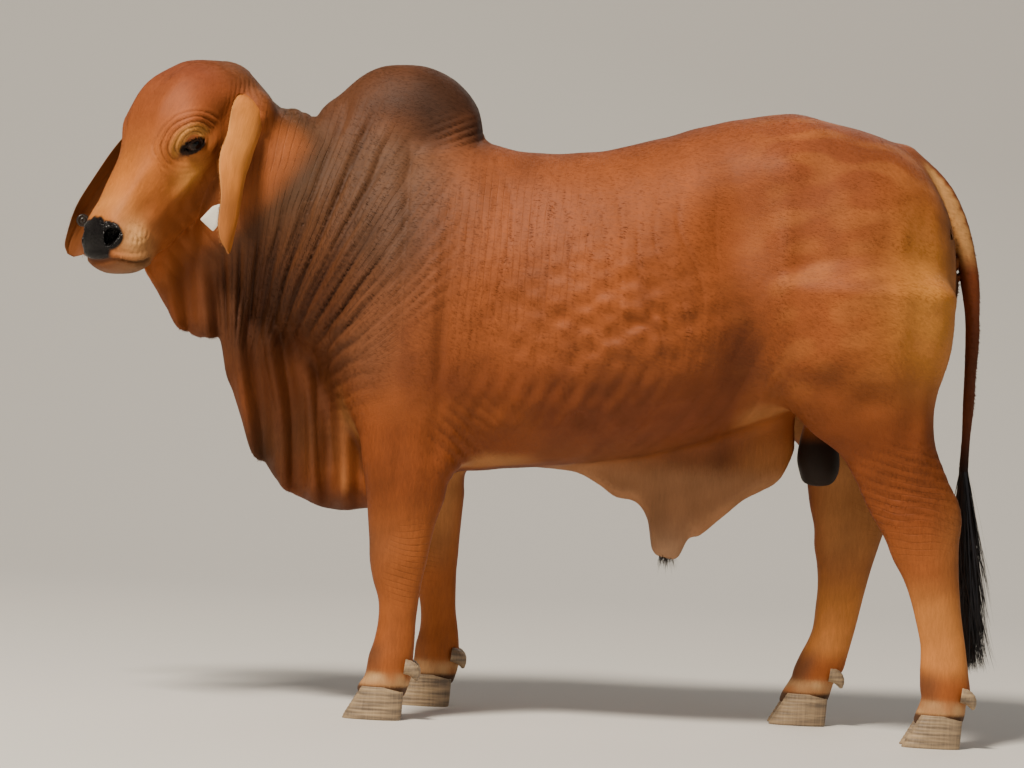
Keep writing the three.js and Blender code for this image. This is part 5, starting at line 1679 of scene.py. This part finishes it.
def claw(x, y, inward):
    """One claw as rings: toe forward, inner wall flattened, wider at the sole, with fine growth rings."""
    turn = (np.arange(64) / 64 * TAU)[None]
    rise = np.concatenate([[0.0], np.linspace(0, 1, 40) ** 0.9, [1.0]])[:, None]
    c, s = np.cos(turn), np.sin(turn)
    shrink = np.ones_like(rise)
    shrink[0] = shrink[-1] = 0.55
    rings = 0.0005 * np.sin(TAU * rise * 9 + 0.8 * np.sin(2 * turn)) * (s < 0.4)
    half = (0.027 - 0.005 * rise) * np.where(c * inward > 0, 0.62, 1) + rings
    reach = (0.074 - 0.022 * rise) * np.where(s < 0, 1, 0.86) + rings
    bevel = 0.0022 * smooth_step(rise, 0.05, 0.0)
    px = x + 0.006 - 0.022 * (1 - rise) + s * (reach - bevel) * shrink
    py = y + np.sign(c) * np.abs(c) ** 0.85 * (half - bevel) * shrink
    pz = rise * (0.076 - np.maximum(0, 0.010 * s))
    return np.stack([px, py, pz], -1)


def dewclaw(x, y):
    """One dewclaw: a blunt curved horn cone behind the fetlock."""
    t = np.linspace(0, 1, 20)[:, None]
    knots = np.array([(x - 0.020, y, 0.126), (x + 0.006, y, 0.124), (x + 0.010, y, 0.094)])
    line = (1 - t) ** 2 * knots[0] + 2 * t * (1 - t) * knots[1] + t**2 * knots[2]
    way = unit(np.gradient(line, axis=0))
    sideways = np.array([0.0, 1.0, 0.0])
    over = np.cross(way, sideways)
    turn = (np.arange(32) / 32 * TAU)[None, :, None]
    radius = (0.0145 * (1 - t**3) + 0.003)[:, :, None] * (1 + 0.03 * np.sin(t * 40))[:, :, None]
    return line[:, None] + radius * (np.cos(turn) * over[:, None] + np.sin(turn) * sideways)


# Cells a metre across and up the wall: growth rings of 9 mm, and upright horn fibres of 4 by 80 mm
HORN_RINGS, HORN_FIBRES = (10, 10, 110), (230, 230, 12)


def horn_material():
    """Dry hoof horn, worn dull by dust: grey-tan walls with darker growth rings and faint upright fibres."""
    material, tree, surface = finish_of("Dry hoof horn", 0.55)
    place = add(tree, "ShaderNodeTexCoord").outputs["Object"]
    values = {"rings": noise_along(tree, place, HORN_RINGS, 2.0)}
    values["fibres"] = noise_along(tree, place, HORN_FIBRES, 2.0)
    steps = (
        ("ring_part", "MULTIPLY", "rings", 0.75),
        ("fibre_part", "MULTIPLY", "fibres", 0.25),
        ("pattern", "ADD", "ring_part", "fibre_part"),
    )
    work_out(tree, values, steps)
    ramp = add(tree, "ShaderNodeValToRGB", None, {"Fac": values["pattern"]})
    for stop, at, code in zip(ramp.color_ramp.elements, (0.34, 0.66), ("#6A5B4B", "#B59A76")):
        stop.position, stop.color = at, (*linear(code), 1)
    height = {"Strength": 0.4, "Distance": 0.0008, "Height": values["pattern"]}
    bump = add(tree, "ShaderNodeBump", None, height)
    tree.links.new(ramp.outputs["Color"], surface.inputs["Base Color"])
    tree.links.new(bump.outputs[0], surface.inputs["Normal"])
    return material


class BULL_OT_tags(bpy.types.Operator):
    """Build the bare pale ear tag and the round dark tag button"""

    bl_idname = "bull.tags"
    bl_label = "Tags"

    def execute(self, context):
        pale = finish_of("Pale moulded tag plastic", 0.38, "#E4DFD0")[0]
        dark = finish_of("Dark moulded tag plastic", 0.34, "#2B2622")[0]
        outline = np.array([(-21, -54), (21, -54), (19, -12), (9, 5), (-9, 5), (-19, -12)]) * MM
        ring = rounded(outline, 0.004, 8)
        rows = []
        half = ((0, 0.0004), (0.0007, 0.0009), (0.5, 0.0009))
        for inset, depth in [(inset, -depth) for inset, depth in half[::-1]] + list(half):
            middle = ring.mean(0)
            away = ring - middle
            size = np.linalg.norm(away, axis=1, keepdims=True)
            shrunk = middle + (away * 0.4 if inset == 0.5 else away * (1 - inset / size))
            rows.append(np.stack([shrunk[:, 0], shrunk[:, 1], np.full(len(ring), depth)], 1))
        panel = np.stack(rows)
        turned = Matrix.Rotation(math.radians(-12), 3, "Z") @ Matrix.Rotation(math.radians(39), 3, "Y")
        turned = np.array(turned @ Matrix.Rotation(math.radians(90), 3, "X"))
        hole = np.array([-0.686, -0.330, 1.166])
        made = mesh_object("tag_panel", *spread(closed_grid(panel @ turned.T + hole)), pale, "tag_plastic")
        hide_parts("ear_tag_left")
        middle = head_point(0.362, -0.262, -0.146) + np.array([0, -0.002, 0])
        profile = np.array(
            [(0.2, -4.5), (14, -4.5), (15, -3.6), (15, 3.2), (14.2, 4.3), (11.5, 4.6)]
            + [(10.6, 3.6), (6.6, 3.5), (6.0, 4.6), (4.4, 5.0), (3.6, 4.2), (0.2, 4.0)]
        ) * MM
        turn = (np.arange(48) / 48 * TAU)[None]
        lathe = np.stack(
            [profile[:, :1] * np.cos(turn), -profile[:, 1:] + 0 * turn, profile[:, :1] * np.sin(turn)], -1
        )
        tilt = np.array(Matrix.Rotation(math.radians(20), 3, "Z"))
        made = mesh_object("tag_stud", *spread(closed_grid(lathe @ tilt.T + middle)), dark, "tag_plastic")
        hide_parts("tag_button_right")
        return {"FINISHED"}


def spread(grid):
    """Points and face arrays of a closed grid in the order mesh_object takes them."""
    return grid[0], [grid[1], grid[2]]


def rounded(outline, radius, steps):
    """A closed outline with each corner made a quadratic curve between two cut points."""
    before, after = np.roll(outline, 1, 0), np.roll(outline, -1, 0)
    start = outline + unit(before - outline) * radius
    end = outline + unit(after - outline) * radius
    t = np.linspace(0, 1, steps)[None, :, None]
    curve = (1 - t) ** 2 * start[:, None] + 2 * t * (1 - t) * outline[:, None] + t**2 * end[:, None]
    return curve.reshape(-1, 2)


class BULL_OT_switch(bpy.types.Operator):
    """Grow the long dark hair at the end of the tail"""

    bl_idname = "bull.switch"
    bl_label = "Tail switch"

    def execute(self, context):
        sheet = context.scene.bull_switch
        draw = np.random.default_rng(5)
        count = sheet.count
        start = sheet.top - 0.17 * draw.uniform(0, 1, count) ** 1.2
        end = np.maximum(sheet.low, start - draw.uniform(0.22, 0.46, count))
        end = end - 0.02 * draw.uniform(0, 1, count)
        turn = draw.uniform(0, TAU, count)
        out = np.stack([np.cos(turn), np.sin(turn), 0 * turn], 1)

        def line(z):
            return np.stack([1.08 + sheet.drift * np.clip((0.6 - z) / 0.42, 0, 1) ** 1.2, 0 * z, z], 1)

        root = line(start) + out * (0.011 * draw.uniform(0.6, 1, (count, 1)))
        spread_out = 0.040 * draw.uniform(0.15, 1, (count, 1))
        spread_out = spread_out * np.clip((end - 0.13) / 0.2, 0.15, 1)[:, None]
        tip = line(end) + out * spread_out
        away = tip - root
        long = np.linalg.norm(away, axis=1)
        way = away / long[:, None]
        side = unit(out - way * (out * way).sum(1, keepdims=True))
        lift = draw.uniform(0.010, 0.036, count)
        sway = 0.05 * draw.normal(size=(count, 3)) * (1, 1, 0)
        thick = draw.uniform(0.003, 0.0065, count)
        made, four, three, t, edge = locks(root, way, side, long, thick, lift, sway, 8)
        each = len(t) // count
        tone = linear("#1E1613") * draw.uniform(0.5, 1.7, (count, 1))
        colour = np.repeat(tone, each, 0)
        uv = in_chart("tail", np.repeat(turn / TAU, each), np.repeat(root[:, 2] / 1.2, each))
        uv = uv + PATCH * np.stack([edge, t], 1)
        hair = coloured_material("Coarse dark tail hair", 0.42)[0]
        name = "switch_hair"
        switch = mesh_object(name, made, [four, three], hair, name, colour=colour, OFBake=uv)
        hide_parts("tail_switch")
        return {"FINISHED"}


# Lashes of each eye, hairs of the sheath's tuft and hairs on each ear's rim
LASHES, TUFT_HAIRS, RIM_HAIRS = 110, 220, 900


class BULL_OT_guard_hair(bpy.types.Operator):
    """Set the lashes, the dark tuft at the sheath's tip and the soft hair on the ears' rims"""

    bl_idname = "bull.guard_hair"
    bl_label = "Lashes, sheath tuft and ear hair"

    def execute(self, context):
        draw = np.random.default_rng(9)
        root, way = [], []
        for side in (1, -1):
            along = draw.uniform(-0.021, 0.024, LASHES)
            high = opening(along)[0] + draw.uniform(0, 0.0012, LASHES)
            out = np.sqrt((EYE_RADIUS + 0.0042) ** 2 - along**2 - high**2)
            q = EYE + out[:, None] * EYE_LOOK + along[:, None] * EYE_SLANT + high[:, None] * EYE_OVER
            root.append(head_point(*(q * (1, side, 1)).T))
            lash = EYE_LOOK - 0.15 * EYE_OVER + (along[:, None] / 0.03) * EYE_SLANT
            way.append(unit(lash + 0.10 * draw.normal(size=(LASHES, 3))) * (1, side, 1) @ HEAD_AXES)
        tip = np.array([0.385, 0, 0.412]) + draw.uniform(-1, 1, (TUFT_HAIRS, 3)) * (0.015, 0.009, 0.006)
        root.append(tip)
        way.append(unit(np.array([0.15, 0, -1]) + 0.30 * draw.normal(size=(TUFT_HAIRS, 3))))
        root, way = np.concatenate(root), np.concatenate(way)
        lash = np.arange(len(root)) < 2 * LASHES
        long = np.where(lash, 0.013, 0.045 * draw.uniform(0.4, 1, len(root)))
        long = long * draw.uniform(0.7, 1.2, len(root))
        thick = np.where(lash, 0.0008, 0.0013)
        tone = linear("#1B1310") * draw.uniform(0.6, 1.6, (len(root), 1))
        tone = np.where(lash[:, None], tone, tone * 1.8)
        self.build("lashes_and_sheath_tuft", root, way, long, thick, 0.12, tone, "switch_hair")
        root, way = [], []
        for side in (1, -1):
            grid = ear_grid(side)[0]
            row = draw.integers(int(0.10 * EAR_ROWS), int(0.97 * EAR_ROWS), RIM_HAIRS)
            edge = np.where(draw.uniform(0, 1, RIM_HAIRS) < 0.5, 0, EAR_AROUND // 2)
            root.append(grid[row, edge])
            middle = grid.mean(1)
            way.append(unit(unit(grid[row, edge] - middle[row]) + 1.1 * unit(middle[row] - middle[row - 1])))
        root, way = np.concatenate(root), np.concatenate(way)
        way = unit(way + 0.18 * draw.normal(size=way.shape))
        long = draw.uniform(0.005, 0.011, len(root))
        tone = linear("#B98450") * WARMTH * draw.uniform(0.75, 1.2, (len(root), 1))
        self.build("ear_rim_hair", root, way, long, 0.0011 + 0 * long, 0.0, tone, "red_hide")
        return {"FINISHED"}

    def build(self, name, root, way, long, thick, droop, tone, slot):
        """One piece of tapered hairs that bend by the droop, a share of their length."""
        out = unit(np.cross(way, np.cross([0.0, 0.0, 1.0], way) + [1e-4, 0, 0]))
        sag = np.tile([0.0, 0.0, -droop], (len(root), 1))
        made, four, three, t, edge = locks(root, way, out, long, thick, 0.1 * long, sag, 4)
        each = len(t) // len(root)
        uv = np.repeat(unwrap(root), each, 0) + PATCH * np.stack([edge, t], 1)
        hair = coloured_material(f"Soft long hair of {name}", 0.5, specular_ior_level=0.3)[0]
        mesh_object(name, made, [four, three], hair, slot, colour=np.repeat(tone, each, 0), OFBake=uv)


def area_light(name, place, aim, size, power, colour):
    """A soft square light at a place, aimed at a point."""
    data = bpy.data.lights.new(name, "AREA")
    data.size, data.energy, data.color = size, power, tuple(linear(colour))
    lamp = bpy.data.objects.new(name, data)
    lamp.location = place
    lamp.rotation_euler = (Vector(aim) - Vector(place)).to_track_quat("-Z", "Y").to_euler()
    bpy.context.scene.collection.objects.link(lamp)


# The photograph's camera: its distance and height in metres, its focal length in pixels of a picture 1024
# wide, how many pixels the level stands above the middle, and its roll in degrees
CAMERA_PLACE, FOCAL, WIDE, LEVEL, ROLL = (0, -10.5, 1.05), 4431, 1024, 110, 3
SENSOR = 36.0
# The pale sweep: half its width, where its floor starts and begins to rise, the bend's radius, its top
SWEEP_HALF, SWEEP_FRONT, SWEEP_BACK, SWEEP_BEND, SWEEP_TOP, SWEEP_STEPS = 16.0, -16.0, 4.0, 4, 14.0, 12


class BULL_OT_stage(bpy.types.Operator):
    """Set the pale sweep, the soft lights and the camera at the photograph's angle"""

    bl_idname = "bull.stage"
    bl_label = "Stage"

    def execute(self, context):
        sheet = context.scene.bull_stage
        profile = [(SWEEP_FRONT, 0.0), (SWEEP_BACK, 0.0)]
        for k in range(1, SWEEP_STEPS + 1):
            angle = k / SWEEP_STEPS * math.pi / 2
            profile.append((SWEEP_BACK + SWEEP_BEND * math.sin(angle), SWEEP_BEND * (1 - math.cos(angle))))
        profile.append((SWEEP_BACK + SWEEP_BEND, SWEEP_TOP))
        mesh = bpy.data.meshes.new("pale_sweep")
        points = [(x, y, z) for y, z in profile for x in (-SWEEP_HALF, SWEEP_HALF)]
        faces = [(2 * k, 2 * k + 1, 2 * k + 3, 2 * k + 2) for k in range(len(profile) - 1)]
        mesh.from_pydata(points, [], faces)
        mesh.polygons.foreach_set("use_smooth", [True] * len(faces))
        mesh.materials.append(finish_of("Pale matt floor", 0.9, "#D9D6D0")[0])
        sweep = bpy.data.objects.new("pale_sweep", mesh)
        context.scene.collection.objects.link(sweep)
        area_light("key_light", (-2.6, -4.6, 8.0), (0, 0, 0.9), 1.7, sheet.key, "#FFF3E2")
        area_light("fill_light", (6.5, -7.0, 2.6), (0, 0, 0.9), 4.0, sheet.fill, "#EAF1FF")
        area_light("rim_light", (2.0, 5.0, 4.6), (0, 0, 1.1), 3.0, sheet.rim, "#FFF8EE")
        world = bpy.data.worlds.new("pale_surroundings")
        world.use_nodes = True
        world.node_tree.nodes["Background"].inputs["Color"].default_value = (*linear("#E9EDF2"), 1)
        world.node_tree.nodes["Background"].inputs["Strength"].default_value = sheet.sky
        context.scene.world = world
        data = bpy.data.cameras.new("camera")
        data.sensor_width, data.lens = SENSOR, SENSOR * FOCAL / WIDE
        data.clip_start, data.clip_end = 0.1, 100
        camera = bpy.data.objects.new("camera", data)
        pitch, roll = math.atan(LEVEL / FOCAL), math.radians(ROLL)
        right = Vector((math.cos(roll), math.sin(roll) * math.sin(pitch), math.sin(roll) * math.cos(pitch)))
        back = Vector((0, -math.cos(pitch), math.sin(pitch)))
        over = back.cross(right)
        camera.matrix_world = Matrix((right, over, back)).transposed().to_4x4()
        camera.location = Vector(CAMERA_PLACE) + Vector(EYE_SHIFT)
        context.scene.collection.objects.link(camera)
        context.scene.camera = camera
        return {"FINISHED"}


class BULL_PT_panel(bpy.types.Panel):
    """The bull's settings and the buttons that build its pieces"""

    bl_label = "Brahman bull"
    bl_idname = "BULL_PT_panel"
    bl_space_type = "VIEW_3D"
    bl_region_type = "UI"
    bl_category = "Bull"

    def draw(self, context):
        for sheet in SHEETS:
            group = getattr(context.scene, sheet)
            for name in group.__annotations__:
                self.layout.prop(group, name)
        for maker in MAKERS:
            self.layout.operator(maker.bl_idname)


MAKERS = (
    BULL_OT_skin,
    BULL_OT_coat,
    BULL_OT_eyes,
    BULL_OT_hooves,
    BULL_OT_tags,
    BULL_OT_switch,
    BULL_OT_guard_hair,
    BULL_OT_stage,
)


def register():
    """Registers the settings, the operators and the panel."""
    for kind in (*SHEETS.values(), *MAKERS, BULL_PT_panel):
        bpy.utils.register_class(kind)
    for name, kind in SHEETS.items():
        setattr(bpy.types.Scene, name, bpy.props.PointerProperty(type=kind))


def unregister():
    """Takes the panel, the operators and the settings away again."""
    for name in SHEETS:
        delattr(bpy.types.Scene, name)
    for kind in reversed((*SHEETS.values(), *MAKERS, BULL_PT_panel)):
        bpy.utils.unregister_class(kind)


def main():
    """Builds every piece in turn."""
    register()
    for maker in MAKERS:
        group, name = maker.bl_idname.split(".")
        getattr(getattr(bpy.ops, group), name)()


if __name__ == "__main__":
    main()
